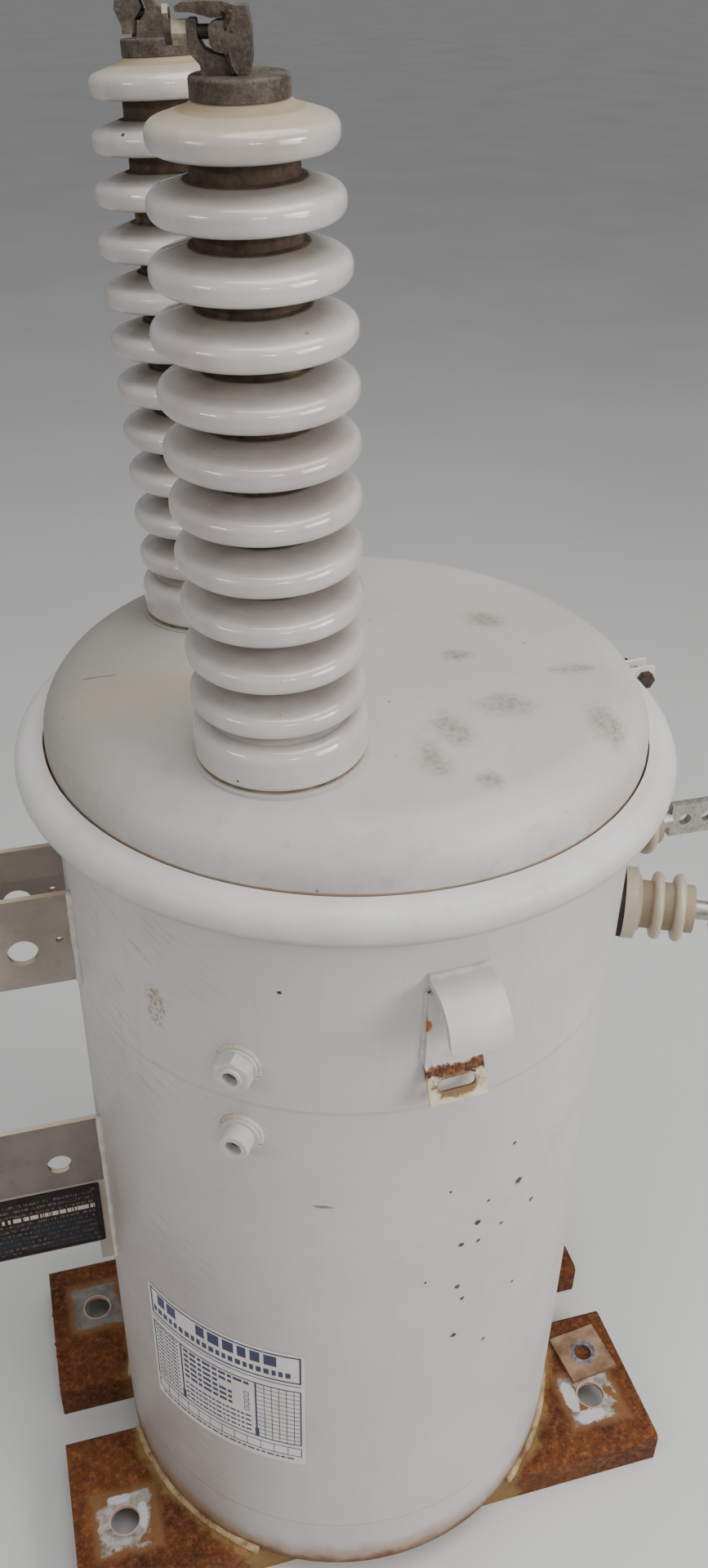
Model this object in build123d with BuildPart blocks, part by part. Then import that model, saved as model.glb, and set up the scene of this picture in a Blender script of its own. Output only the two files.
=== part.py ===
from build123d import *
import math
import os

os.makedirs("parts", exist_ok=True)

# Datum: floor level on the tank's axis, +Z up, +X to the low-voltage side, -Y to the front hook

# Clearances between pieces
seat_gap = 0.3
weld_gap = 0.2

# Base rails, two channels with the web on top
rail_half_length = 374.0
rail_inner_y = 35.0
rail_width = 195.0
rail_height = 50.0
rail_thickness = 6.0
rail_bend = 8.0
rail_hole_radius = 17.5
rail_hole_x = 312.0
rail_hole_y = 153.0

# Loose square washer lying on the front rail
washer_side = 67.0
washer_thickness = 6.0
washer_hole_radius = 11.6
washer_x = 325.0
washer_y = -96.0
washer_turn = 6.0

# Tank wall and floor
tank_radius = 280.0
tank_wall = 4.0
tank_height = 996.5
floor_recess = 14.0
floor_thickness = 6.0

# Lip, gasket and clamp band
lip_thickness = 4.0
gasket_height = 6.0
gasket_step = 2.0
band_stand = 11.1
band_section_radius = 19.5
band_straight = 7.8
band_thickness = 3.0
band_split_angle = 6.0
band_split_width = 12.0
band_ear_thickness = 5.0
band_ear_reach = 30.0
band_ear_height = 24.0
band_bolt_radius = 5.0
band_bolt_hole_gap = 0.4
band_bolt_overhang = 9.0
band_bolt_head_across = 16.0
band_bolt_head = 7.0

# Domed cover
cover_sheet = 3.0
cover_rise = 78.2
cover_step = 1.5
dome_radius = 2650.0
shoulder_radius = 46.0

# High-voltage bushings, mirrored front and back
hv_reach = 168.6
hv_angle = 124.2
hv_lean_turn = 16.0
hv_pad_radius = 73.5
hv_pad_rise = 1.8
hv_pad_depth = 3.0
hv_gasket_height = 1.6
hv_gasket_step = 2.0
hv_base_radius = 71.0
hv_base_height = 37.0
hv_base_foot_round = 5.0
hv_base_top_round = 13.0
hv_shed_count = 11
hv_first_shed = 56.4
hv_shed_pitch = 39.7
hv_shed_radius = 70.0
hv_tapered_sheds = 3
hv_top_shed_radius = 60.6
hv_shed_edge = 19.5
hv_shed_round = 8.5
hv_shed_slope = 17.0
hv_core_low_radius = 38.0
hv_core_high_radius = 35.0
hv_neck_height = 3.9
hv_shank_radius = 30.0
hv_shank_length = 70.0

# Cast caps with their clamp arms; outlines are seen from the front, from the cap's top centre
view_angle = -15.9
cap_radius = 31.0
cap_overhang = 1.5
cap_height = 12.5
cap_round = 2.0
arm_width = 16.0
arm_round = 1.2
arm_root = -2.0
arm_front_outer = -28.5
arm_front_outline = [
    (-21.8, arm_root),
    (-22, 5.3),
    (arm_front_outer, 12.5),
    (arm_front_outer, 29),
    (-23.1, 29),
    (-22.4, 19.1),
    (-19.4, 13.7),
    (-14.2, 11.3),
    (-7, 9.5),
    (-4.3, 6),
    (-4.3, arm_root),
]
arm_back_outer = 5.0
arm_back_outline = [
    (-17, arm_root),
    (7, arm_root),
    (arm_back_outer, 8),
    (arm_back_outer, 18.5),
    (-0.5, 23),
    (-3.5, 31),
    (-10.3, 34.5),
    (-14.4, 33.7),
    (-15.3, 30.3),
    (-9, 25.6),
    (-7.2, 20.7),
    (-8.6, 15.9),
    (-15.1, 9.9),
]

# Clamp jaws, each with a beak at its top
jaw_width = 20.0
jaw_round = 1.2
jaw_front_inner = -15.5
jaw_front_outline = [
    (-3.6, seat_gap),
    (7.2, seat_gap),
    (9, 7.9),
    (9.4, 23.7),
    (7.2, 35.6),
    (-0.5, 35.5),
    (-2.1, 28),
    (-11.5, 28),
    (jaw_front_inner, 26),
    (jaw_front_inner, 16.5),
    (-12.8, 12.6),
    (-5.1, 11.1),
    (-3.6, 6),
]
jaw_back_inner = -13.9
jaw_back_outline = [
    (-27.4, 3.1),
    (-27.4, 9),
    (-31.9, 20.3),
    (-29.8, 30.2),
    (-28.2, 35.3),
    (-16.7, 34.8),
    (-16, 27.9),
    (-12.5, 26.4),
    (-10.4, 20.8),
    (jaw_back_inner, 16.1),
    (-17.2, 12.8),
    (-19.3, 3.1),
]
beak_width = 12.0
beak_front_outline = [
    (-35.1, 35.1),
    (-31, 37.3),
    (-20.8, 37.9),
    (-7.2, 37.4),
    (2, 35),
    (2, 30),
    (-13.8, 29.3),
    (-26.1, 32.4),
    (-34.4, 32.5),
]
beak_back_outline = [(-48.4, 37.5), (-28.5, 36), (-24, 34), (-24, 30.2), (-29.4, 30.2), (-48.1, 34)]

# Clamp bolts and nuts
clamp_bolt_radius = 4.0
clamp_bolt_gap = 0.4
clamp_bolt_sink = 6.0
clamp_front_bolt_height = 22.0
clamp_back_bolt_height = 16.0
clamp_head_radius = 6.7
clamp_head_thickness = 4.3
clamp_nut_across = 13.0
clamp_front_nut = 9.0
clamp_back_nut = 4.5
clamp_back_tip = 1.0

# Low-voltage bushings
lv_angles = [-25.0, 0.0, 25.0]
lv_names = ["front", "middle", "back"]
lv_height = 880.0
lv_base_radius = 36.0
lv_gasket_thickness = 3.0
lv_gasket_step = 1.0
lv_shank_radius = 24.0
lv_shank_length = 34.0
lv_hole_gap = 1.0
lv_collar_length = 18.0
lv_collar_chamfer = 6.0
lv_neck_radius = 24.0
lv_skirt_count = 2
lv_skirt_radius = 34.0
lv_skirt_length = 12.0
lv_skirt_round = 5.0
lv_skirt_gap = 9.0
lv_stud_radius = 9.5
lv_stud_length = 18.0
spade_width = 40.0
spade_length = 62.0
spade_thickness = 9.0
spade_hole_radius = 7.2
spade_hole_pitch = 28.0
spade_hole_start = 17.0

# Pole hangers
hanger_half_width = 43.0
hanger_plate = 6.0
hanger_bend = 12.0
hanger_stand = 140.0
hanger_slot_radius = 11.0
hanger_upper_bottom = 832.5
hanger_upper_height = 105.0
hanger_upper_slot = 44.0
hanger_lower_bottom = 543.5
hanger_lower_height = 94.0
hanger_lower_slot = 47.0
eye_upper_stand = 47.4
eye_upper_rise = 42.8
eye_upper_radius = 14.5
eye_lower_stand = 45.2
eye_lower_rise = 34.6
eye_lower_radius = 13.0
pin_hole_stand = 12.4
pin_hole_rise = 52.0
pin_hole_radius = 3.5

# Nameplate and its carrier, below the lower hanger
carrier_drop = 2.5
carrier_height = 101.0
carrier_length = 150.0
carrier_leg_width = 18.0
carrier_leg_length = 30.0
carrier_thickness = 3.0
nameplate_margin = 2.5
nameplate_wall_margin = 14.0
nameplate_thickness = 1.0
nameplate_corner = 3.0

# Lifting hooks
hook_angle = -86.0
hook_width = 55.0
hook_plate = 6.0
hook_top = 978.0
hook_flat = 12.0
hook_bend = 40.0
hook_drop = 4.0
hook_corner = 12.0

# Slotted tabs below the hooks, each bent out from a back plate
tab_width = 54.0
tab_plate = 4.0
tab_hook_gap = 10.0
tab_back_length = 82.0
tab_length = 36.0
tab_lean = 27.0
tab_slot_length = 36.0
tab_slot_width = 11.0
tab_slot_from_tip = 16.0

# Plugged fittings
fitting_angle = -124.4
fitting_upper_height = 871.0
fitting_upper_across = 31.0
fitting_upper_length = 18.0
fitting_upper_nose_radius = 10.5
fitting_upper_nose = 2.5
fitting_upper_mouth = 7.5
fitting_upper_depth = 9.0
fitting_pitch = 85.5
fitting_lower_radius = 14.5
fitting_lower_length = 21.0
fitting_lower_mouth = 8.0
fitting_lower_depth = 9.5
fitting_lower_round = 1.5
fitting_collar_radius = 18.5
fitting_collar_length = 5.0
plug_length = 8.0
plug_square = 8.0
plug_square_depth = 4.0

# Grounding boss low on the low-voltage side
ground_height = 110.0
ground_radius = 22.0
ground_length = 14.0
ground_thread_radius = 6.5

# Core and coils inside the tank
core_leg = 70.0
core_depth = 150.0
core_height = 420.0
core_width = 360.0
coil_yoke_gap = 6.7

# Heights and radii that follow from the sizes above
tank_inner_radius = tank_radius - tank_wall
lip_top = rail_height + tank_height
gasket_top = lip_top + gasket_height
flange_top = gasket_top + cover_sheet
cover_top = flange_top + cover_rise
band_centre_radius = tank_radius + band_stand
band_centre_height = lip_top + gasket_height / 2
band_inner_section = band_section_radius - band_thickness
lip_half_height = gasket_height / 2 + lip_thickness
lip_radius = band_centre_radius - seat_gap + math.sqrt(band_inner_section**2 - lip_half_height**2)
skirt_radius = tank_radius + cover_step
tab_back_top = hook_top - hook_plate - tab_hook_gap
tab_bend_height = tab_back_top - tab_back_length
fitting_lower_height = fitting_upper_height - fitting_pitch
hanger_web_x = -(tank_radius + hanger_stand)


def wall_distance(offset):
    return math.sqrt(tank_radius**2 - offset**2)


def radial(angle):
    return Vector(math.cos(math.radians(angle)), math.sin(math.radians(angle)), 0)


def mirrored(vector):
    return Vector(vector.X, -vector.Y, vector.Z)


def square_to(direction, axis):
    return (direction - axis * direction.dot(axis)).normalized()


# Base rails
rail_middle_y = rail_inner_y + rail_width / 2
with BuildPart() as base_rail_front:
    with BuildSketch(Plane.XY):
        with Locations((0, -rail_middle_y)):
            Rectangle(2 * rail_half_length, rail_width)
    extrude(amount=rail_height)
    fillet(base_rail_front.faces().sort_by(Axis.Z)[-1].edges().filter_by(Axis.X), rail_bend)
    with BuildSketch(Plane.XY):
        with Locations((0, -rail_middle_y)):
            Rectangle(2 * rail_half_length, rail_width - 2 * rail_thickness)
    extrude(amount=rail_height - rail_thickness, mode=Mode.SUBTRACT)
    with BuildSketch(Plane.XY.offset(rail_height)):
        with Locations((-rail_hole_x, -rail_hole_y), (rail_hole_x, -rail_hole_y)):
            Circle(rail_hole_radius)
    extrude(amount=-rail_thickness, mode=Mode.SUBTRACT)

with BuildPart() as base_rail_back:
    mirror(base_rail_front.part, about=Plane.XZ)

# Loose square washer
with BuildPart() as loose_washer:
    with BuildSketch(Plane.XY.offset(rail_height)):
        with Locations(Location((washer_x, washer_y, 0), (0, 0, washer_turn))):
            Rectangle(washer_side, washer_side)
            Circle(washer_hole_radius, mode=Mode.SUBTRACT)
    extrude(amount=washer_thickness)

# Tank wall with its lip and the holes for the low-voltage bushings
with BuildPart() as tank_shell:
    with BuildSketch(Plane.XY.offset(rail_height)):
        Circle(tank_radius)
    extrude(amount=tank_height)
    with BuildSketch(Plane.XY.offset(lip_top)):
        Circle(lip_radius)
    extrude(amount=-lip_thickness)
    with BuildSketch(Plane.XY.offset(rail_height)):
        Circle(tank_inner_radius)
    extrude(amount=tank_height, mode=Mode.SUBTRACT)
    for lv_angle in lv_angles:
        with BuildSketch(Plane(origin=(0, 0, lv_height), z_dir=radial(lv_angle))):
            Circle(lv_shank_radius + lv_hole_gap)
        extrude(amount=tank_radius + lv_collar_length, mode=Mode.SUBTRACT)

# Tank floor
with BuildPart() as tank_floor:
    with BuildSketch(Plane.XY.offset(rail_height + floor_recess)):
        Circle(tank_inner_radius - weld_gap)
    extrude(amount=floor_thickness)

# Gasket under the cover
with BuildPart() as cover_gasket:
    with BuildSketch(Plane.XY.offset(lip_top)):
        Circle(lip_radius - gasket_step)
        Circle(tank_radius + gasket_step, mode=Mode.SUBTRACT)
    extrude(amount=gasket_height)

# Planes of the front high-voltage bushing: it leans as the dome slopes there, turned a little
dome_centre = Vector(0, 0, cover_top - dome_radius)
hv_lean = math.asin(hv_reach / dome_radius)
hv_spot = dome_centre + radial(-hv_angle) * hv_reach + Vector(0, 0, dome_radius * math.cos(hv_lean))
hv_out = radial(-hv_angle - hv_lean_turn)
hv_axis = hv_out * math.sin(hv_lean) + Vector(0, 0, math.cos(hv_lean))
hv_across = hv_out * math.cos(hv_lean) - Vector(0, 0, math.sin(hv_lean))
hv_pad_plane = Plane(hv_spot + hv_axis * hv_pad_rise, hv_across, hv_axis)
hv_seat = hv_pad_plane.origin + hv_axis * hv_gasket_height

# Domed cover with flat pads and holes for the high-voltage bushings
dome_sweep = math.degrees(math.asin(skirt_radius / dome_radius))
with BuildPart() as cover:
    with BuildSketch(Plane.XZ) as dome_section:
        with BuildLine():
            dome_arc = CenterArc((0, dome_centre.Z), dome_radius, 90 - dome_sweep, dome_sweep)
            Line(dome_arc @ 0, (skirt_radius, gasket_top))
            Line((skirt_radius, gasket_top), (0, gasket_top))
            Line((0, gasket_top), dome_arc @ 1)
        make_face()
        shoulder = dome_section.vertices().group_by(Axis.X)[-1].sort_by(Axis.Y)[-1]
        fillet(shoulder, shoulder_radius)
    revolve(axis=Axis.Z)
    offset(amount=-cover_sheet, openings=cover.faces().sort_by(Axis.Z)[0])
    with BuildSketch(Plane.XY.offset(gasket_top)):
        Circle(lip_radius)
        Circle(skirt_radius - cover_sheet, mode=Mode.SUBTRACT)
    extrude(amount=cover_sheet)
    with BuildSketch(hv_pad_plane):
        Circle(hv_pad_radius)
    extrude(amount=-(hv_pad_rise + hv_pad_depth))
    with BuildSketch(hv_pad_plane):
        Circle(hv_shank_radius + seat_gap)
    extrude(amount=-hv_shank_length, mode=Mode.SUBTRACT)
    split(bisect_by=Plane.XZ, keep=Keep.TOP)
    mirror(about=Plane.XZ)

# Clamp band with ears at its split
split_out = radial(band_split_angle)
split_along = radial(band_split_angle + 90)
ear_offset = band_split_width / 2
ear_middle = band_centre_radius + band_section_radius + band_ear_reach / 2
ear_centre = split_out * ear_middle + Vector(0, 0, band_centre_height)
ear_plane = Plane(ear_centre, split_out, split_along)
with BuildPart() as clamp_band:
    with BuildSketch(Plane.XZ):
        with Locations((band_centre_radius, band_centre_height)):
            Circle(band_section_radius)
            Rectangle(
                band_section_radius,
                2 * band_section_radius,
                align=(Align.MAX, Align.CENTER),
                mode=Mode.SUBTRACT,
            )
            Rectangle(band_straight, 2 * band_section_radius, align=(Align.MAX, Align.CENTER))
            Circle(band_inner_section, mode=Mode.SUBTRACT)
            Rectangle(
                band_straight,
                2 * band_inner_section,
                align=(Align.MAX, Align.CENTER),
                mode=Mode.SUBTRACT,
            )
    revolve(axis=Axis.Z)
    with BuildSketch(Plane.XY.offset(band_centre_height - band_section_radius)):
        with Locations(Location((0, 0, 0), (0, 0, band_split_angle))):
            Rectangle(ear_middle, band_split_width, align=(Align.MIN, Align.CENTER))
    extrude(amount=2 * band_section_radius, mode=Mode.SUBTRACT)
    for ear_side in (-1, 1):
        with BuildSketch(ear_plane.offset(ear_side * ear_offset)):
            with Locations((-band_thickness, 0)):
                Rectangle(band_ear_reach, band_ear_height)
            Circle(band_bolt_radius + band_bolt_hole_gap, mode=Mode.SUBTRACT)
        extrude(amount=ear_side * band_ear_thickness)

# Draw bolt of the clamp band
bolt_reach = ear_offset + band_ear_thickness
with BuildPart() as band_bolt:
    with BuildSketch(ear_plane.offset(-bolt_reach)):
        Circle(band_bolt_radius)
    extrude(amount=2 * bolt_reach + band_bolt_head + band_bolt_overhang)
    with BuildSketch(ear_plane.offset(-bolt_reach)):
        RegularPolygon(band_bolt_head_across / 2, 6, major_radius=False)
    extrude(amount=-band_bolt_head)
    with BuildSketch(ear_plane.offset(bolt_reach)):
        RegularPolygon(band_bolt_head_across / 2, 6, major_radius=False)
    extrude(amount=band_bolt_head)

# Front high-voltage bushing
hv_last_shed = hv_first_shed + hv_shed_pitch * (hv_shed_count - 1)
shed_fall = math.tan(math.radians(hv_shed_slope))
over_reach = hv_shed_round * (1 - math.sin(math.radians(hv_shed_slope)))
over_drop = hv_shed_round * (1 - math.cos(math.radians(hv_shed_slope)))


def shed_crown(rim, core):
    return (rim - over_reach - core) * shed_fall - over_drop


top_crown = shed_crown(hv_top_shed_radius, hv_core_high_radius)
hv_top = hv_last_shed + hv_shed_edge / 2 + top_crown + hv_neck_height
with BuildPart() as hv_bushing_front:
    with BuildSketch(Plane(hv_seat, hv_across, hv_across.cross(hv_axis))) as hv_section:
        with BuildLine():
            Line((0, -hv_shank_length), (hv_shank_radius, -hv_shank_length))
            Line((hv_shank_radius, -hv_shank_length), (hv_shank_radius, 0))
            foot_start = (hv_base_radius - hv_base_foot_round, 0)
            Line((hv_shank_radius, 0), foot_start)
            foot = TangentArc(foot_start, (hv_base_radius, hv_base_foot_round), tangent=(1, 0))
            side = Line(foot @ 1, (hv_base_radius, hv_base_height - hv_base_top_round))
            base_top = (hv_base_radius - hv_base_top_round, hv_base_height)
            last = TangentArc(side @ 1, base_top, tangent=(0, 1))
            for shed in range(hv_shed_count):
                share = shed / (hv_shed_count - 1)
                core = hv_core_low_radius + (hv_core_high_radius - hv_core_low_radius) * share
                taper = max(0, shed + 1 + hv_tapered_sheds - hv_shed_count) / hv_tapered_sheds
                rim = hv_shed_radius + (hv_top_shed_radius - hv_shed_radius) * taper
                low = hv_first_shed + hv_shed_pitch * shed - hv_shed_edge / 2
                high = low + hv_shed_edge
                groove = Line(last @ 1, (core, low))
                under = Line(groove @ 1, (rim - hv_shed_round, low))
                turn = TangentArc(under @ 1, (rim, low + hv_shed_round), tangent=(1, 0))
                edge = Line(turn @ 1, (rim, high - hv_shed_round))
                over = TangentArc(edge @ 1, (rim - over_reach, high - over_drop), tangent=(0, 1))
                last = Line(over @ 1, (core, high + shed_crown(rim, core)))
            neck = Line(last @ 1, (cap_radius - cap_overhang, hv_top))
            Line(neck @ 1, (0, hv_top))
            Line((0, hv_top), (0, -hv_shank_length))
        make_face()
    revolve(axis=Axis(hv_seat, hv_axis))

with BuildPart() as hv_bushing_back:
    mirror(hv_bushing_front.part, about=Plane.XZ)

# Gaskets under the high-voltage bushings
with BuildPart() as hv_gasket_front:
    with BuildSketch(hv_pad_plane):
        Circle(hv_base_radius - hv_gasket_step)
        Circle(hv_shank_radius + seat_gap, mode=Mode.SUBTRACT)
    extrude(amount=hv_gasket_height)

with BuildPart() as hv_gasket_back:
    mirror(hv_gasket_front.part, about=Plane.XZ)


# Cap, clamp and bolt planes at both bushing tops; their local X runs across the front view
def clamp_section(cap_plane):
    origin = cap_plane.origin + cap_plane.z_dir * cap_height
    return Plane(origin, cap_plane.x_dir, -cap_plane.y_dir)


def bolt_plane(clamp_plane, bolt_height):
    origin = clamp_plane.origin + clamp_plane.y_dir * bolt_height
    return Plane(origin, clamp_plane.z_dir, clamp_plane.x_dir)


cap_seat = hv_seat + hv_axis * hv_top
cap_front_plane = Plane(cap_seat, square_to(radial(view_angle), hv_axis), hv_axis)
hv_back_axis = mirrored(hv_axis)
hv_back_across = square_to(radial(view_angle), hv_back_axis)
cap_back_plane = Plane(mirrored(cap_seat), hv_back_across, hv_back_axis)
clamp_front_plane = clamp_section(cap_front_plane)
clamp_back_plane = clamp_section(cap_back_plane)
bolt_front_plane = bolt_plane(clamp_front_plane, clamp_front_bolt_height)
bolt_back_plane = bolt_plane(clamp_back_plane, clamp_back_bolt_height)


# Cast caps with their arms
def cast_cap(cap_plane, clamp_plane, hole_plane, outline):
    with BuildPart() as cap:
        with BuildSketch(cap_plane):
            Circle(cap_radius)
        extrude(amount=cap_height)
        top_face = cap.faces().sort_by(Axis(cap_plane.origin, cap_plane.z_dir))[-1]
        fillet(top_face.edges(), cap_round)
        with BuildSketch(clamp_plane) as arm:
            with BuildLine():
                Polyline(*outline, close=True)
            make_face()
            fillet(arm.vertices(), arm_round)
        extrude(amount=arm_width / 2, both=True)
        with BuildSketch(hole_plane):
            Circle(clamp_bolt_radius + clamp_bolt_gap)
        extrude(amount=2 * cap_radius, both=True, mode=Mode.SUBTRACT)
    return cap


hv_cap_front = cast_cap(cap_front_plane, clamp_front_plane, bolt_front_plane, arm_front_outline)
hv_cap_back = cast_cap(cap_back_plane, clamp_back_plane, bolt_back_plane, arm_back_outline)


# Jaws with their beaks, each with a blind hole for the bolt's end
def clamp_jaw(clamp_plane, hole_plane, jaw_outline, beak_outline, bolt_end, bolt_way):
    with BuildPart() as jaw:
        with BuildSketch(clamp_plane) as body:
            with BuildLine():
                Polyline(*jaw_outline, close=True)
            make_face()
            fillet(body.vertices(), jaw_round)
        extrude(amount=jaw_width / 2, both=True)
        with BuildSketch(clamp_plane):
            with BuildLine():
                Polyline(*beak_outline, close=True)
            make_face()
        extrude(amount=beak_width / 2, both=True)
        with BuildSketch(hole_plane.offset(bolt_end)):
            Circle(clamp_bolt_radius + clamp_bolt_gap)
        extrude(amount=bolt_way * (clamp_bolt_sink + cap_radius), mode=Mode.SUBTRACT)
    return jaw


bolt_front_end = jaw_front_inner + clamp_bolt_sink
bolt_back_end = jaw_back_inner - clamp_bolt_sink
hv_jaw_front = clamp_jaw(
    clamp_front_plane, bolt_front_plane, jaw_front_outline, beak_front_outline, bolt_front_end, -1
)
hv_jaw_back = clamp_jaw(
    clamp_back_plane, bolt_back_plane, jaw_back_outline, beak_back_outline, bolt_back_end, 1
)

# Clamp bolts and nuts
with BuildPart() as hv_bolt_front:
    nut_face = arm_front_outer - clamp_front_nut
    with BuildSketch(bolt_front_plane.offset(nut_face)):
        Circle(clamp_bolt_radius)
    extrude(amount=bolt_front_end - nut_face)
    with BuildSketch(bolt_front_plane.offset(nut_face)):
        Circle(clamp_head_radius)
    extrude(amount=-clamp_head_thickness)

with BuildPart() as hv_nut_front:
    with BuildSketch(bolt_front_plane.offset(arm_front_outer)):
        RegularPolygon(clamp_nut_across / 2, 6, major_radius=False)
        Circle(clamp_bolt_radius + seat_gap, mode=Mode.SUBTRACT)
    extrude(amount=-clamp_front_nut)

with BuildPart() as hv_bolt_back:
    with BuildSketch(bolt_back_plane.offset(bolt_back_end)):
        Circle(clamp_bolt_radius)
    extrude(amount=arm_back_outer + clamp_back_nut + clamp_back_tip - bolt_back_end)

with BuildPart() as hv_nut_back:
    with BuildSketch(bolt_back_plane.offset(arm_back_outer)):
        RegularPolygon(clamp_nut_across / 2, 6, major_radius=False)
        Circle(clamp_bolt_radius + seat_gap, mode=Mode.SUBTRACT)
    extrude(amount=clamp_back_nut)

# Low-voltage bushings, their gaskets and spade terminals
lv_nose = lv_collar_length + lv_skirt_count * (lv_skirt_gap + lv_skirt_length) + lv_skirt_gap
lv_pieces = {}
for lv_name, lv_angle in zip(lv_names, lv_angles):
    lv_out = radial(lv_angle)
    lv_side = radial(lv_angle + 90)
    lv_seat = lv_out * (tank_radius + lv_gasket_thickness) + Vector(0, 0, lv_height)
    with BuildPart() as lv_gasket:
        with BuildSketch(Plane(lv_seat, lv_side, -lv_out)):
            Circle(lv_base_radius - lv_gasket_step)
            Circle(lv_shank_radius + seat_gap, mode=Mode.SUBTRACT)
        extrude(amount=lv_collar_length)
        with BuildSketch(Plane.XY.offset(lv_height - lv_base_radius)):
            Circle(tank_radius)
        extrude(amount=2 * lv_base_radius, mode=Mode.SUBTRACT)
    with BuildPart() as lv_bushing:
        with BuildSketch(Plane(lv_seat, (0, 0, 1), lv_side)):
            with BuildLine():
                Line((0, -lv_shank_length), (lv_shank_radius, -lv_shank_length))
                Line((lv_shank_radius, -lv_shank_length), (lv_shank_radius, 0))
                Line((lv_shank_radius, 0), (lv_base_radius, 0))
                collar_top = (lv_base_radius, lv_collar_length - lv_collar_chamfer)
                Line((lv_base_radius, 0), collar_top)
                last = Line(collar_top, (lv_neck_radius, lv_collar_length))
                for skirt in range(lv_skirt_count):
                    skirt_end = lv_collar_length + (skirt + 1) * (lv_skirt_gap + lv_skirt_length)
                    skirt_start = skirt_end - lv_skirt_length
                    skirt_middle = skirt_end - lv_skirt_length / 2
                    rim_inner = lv_skirt_radius - lv_skirt_round
                    neck = Line(last @ 1, (lv_neck_radius, skirt_start))
                    near = Line(neck @ 1, (rim_inner, skirt_middle - lv_skirt_round))
                    far = (rim_inner, skirt_middle + lv_skirt_round)
                    edge = ThreePointArc(near @ 1, (lv_skirt_radius, skirt_middle), far)
                    last = Line(edge @ 1, (lv_neck_radius, skirt_end))
                Line(last @ 1, (lv_neck_radius, lv_nose))
                Line((lv_neck_radius, lv_nose), (0, lv_nose))
                Line((0, lv_nose), (0, -lv_shank_length))
            make_face()
        revolve(axis=Axis(lv_seat, lv_out))
    with BuildPart() as lv_spade:
        with BuildSketch(Plane(lv_seat + lv_out * lv_nose, lv_side, lv_out)):
            Circle(lv_stud_radius)
        extrude(amount=lv_stud_length)
        with BuildSketch(Plane(lv_seat + lv_out * (lv_nose + lv_stud_length), lv_out, lv_side)):
            Rectangle(spade_length, spade_width, align=(Align.MIN, Align.CENTER))
            with Locations((spade_hole_start, 0), (spade_hole_start + spade_hole_pitch, 0)):
                Circle(spade_hole_radius, mode=Mode.SUBTRACT)
        extrude(amount=spade_thickness / 2, both=True)
    lv_pieces[f"lv_gasket_{lv_name}"] = lv_gasket
    lv_pieces[f"lv_bushing_{lv_name}"] = lv_bushing
    lv_pieces[f"lv_spade_{lv_name}"] = lv_spade


# Pole hangers of bent plate welded to the wall: the upper one is a hat, the lower one an angle
def pole_hanger(bottom, height, slot_rise, far_cheek, cheek_holes):
    cheek_length = tank_radius + hanger_stand - wall_distance(hanger_half_width)
    with BuildPart() as hanger:
        with BuildSketch(Plane.XY.offset(bottom)):
            with Locations((hanger_web_x, 0)):
                Rectangle(
                    cheek_length + hanger_plate,
                    2 * hanger_half_width,
                    align=(Align.MIN, Align.CENTER),
                )
        extrude(amount=height)
        fillet(hanger.edges().filter_by(Axis.Z).group_by(Axis.X)[0], hanger_bend)
        with BuildSketch(Plane.XY.offset(bottom)) as inside:
            with Locations((hanger_web_x + hanger_plate, 0)):
                Rectangle(
                    cheek_length,
                    2 * (hanger_half_width - hanger_plate),
                    align=(Align.MIN, Align.CENTER),
                )
            fillet(inside.vertices().group_by(Axis.X)[0], hanger_bend - hanger_plate)
            Circle(tank_radius + weld_gap)
        extrude(amount=height, mode=Mode.SUBTRACT)
        if not far_cheek:
            with BuildSketch(Plane.XY.offset(bottom)):
                with Locations((hanger_web_x, hanger_half_width - hanger_bend)):
                    Rectangle(
                        cheek_length + hanger_plate,
                        hanger_bend,
                        align=(Align.MIN, Align.MIN),
                    )
            extrude(amount=height, mode=Mode.SUBTRACT)
        for stand, rise, radius in cheek_holes:
            with BuildSketch(Plane.XZ.offset(-hanger_half_width)):
                with Locations((-(tank_radius + stand), bottom + rise)):
                    Circle(radius)
            extrude(amount=2 * hanger_half_width, mode=Mode.SUBTRACT)
        with BuildSketch(Plane.YZ.offset(hanger_web_x)):
            with Locations((0, bottom + slot_rise)):
                Circle(hanger_slot_radius)
                Rectangle(2 * hanger_slot_radius, slot_rise, align=(Align.CENTER, Align.MAX))
        extrude(amount=hanger_plate, mode=Mode.SUBTRACT)
    return hanger


hanger_upper = pole_hanger(
    hanger_upper_bottom,
    hanger_upper_height,
    hanger_upper_slot,
    True,
    [
        (eye_upper_stand, eye_upper_rise, eye_upper_radius),
        (pin_hole_stand, pin_hole_rise, pin_hole_radius),
    ],
)
hanger_lower = pole_hanger(
    hanger_lower_bottom,
    hanger_lower_height,
    hanger_lower_slot,
    False,
    [(eye_lower_stand, eye_lower_rise, eye_lower_radius)],
)

# Nameplate carrier with a leg down the wall, and the nameplate, in line with the hangers' front cheeks
carrier_top = hanger_lower_bottom - carrier_drop
carrier_middle = carrier_top - carrier_height / 2
carrier_end_x = carrier_thickness - wall_distance(hanger_half_width)
with BuildPart() as nameplate_carrier:
    with BuildSketch(Plane.XZ.offset(hanger_half_width)):
        with Locations((carrier_end_x, carrier_middle)):
            Rectangle(carrier_length, carrier_height, align=(Align.MAX, Align.CENTER))
        with Locations((carrier_end_x, carrier_top)):
            Rectangle(
                carrier_leg_width + carrier_thickness,
                carrier_height + carrier_leg_length,
                align=(Align.MAX, Align.MAX),
            )
    extrude(amount=-carrier_thickness)
    with BuildSketch(Plane.XY.offset(carrier_top)):
        Circle(tank_radius + weld_gap)
    extrude(amount=-carrier_height - carrier_leg_length, mode=Mode.SUBTRACT)

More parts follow.
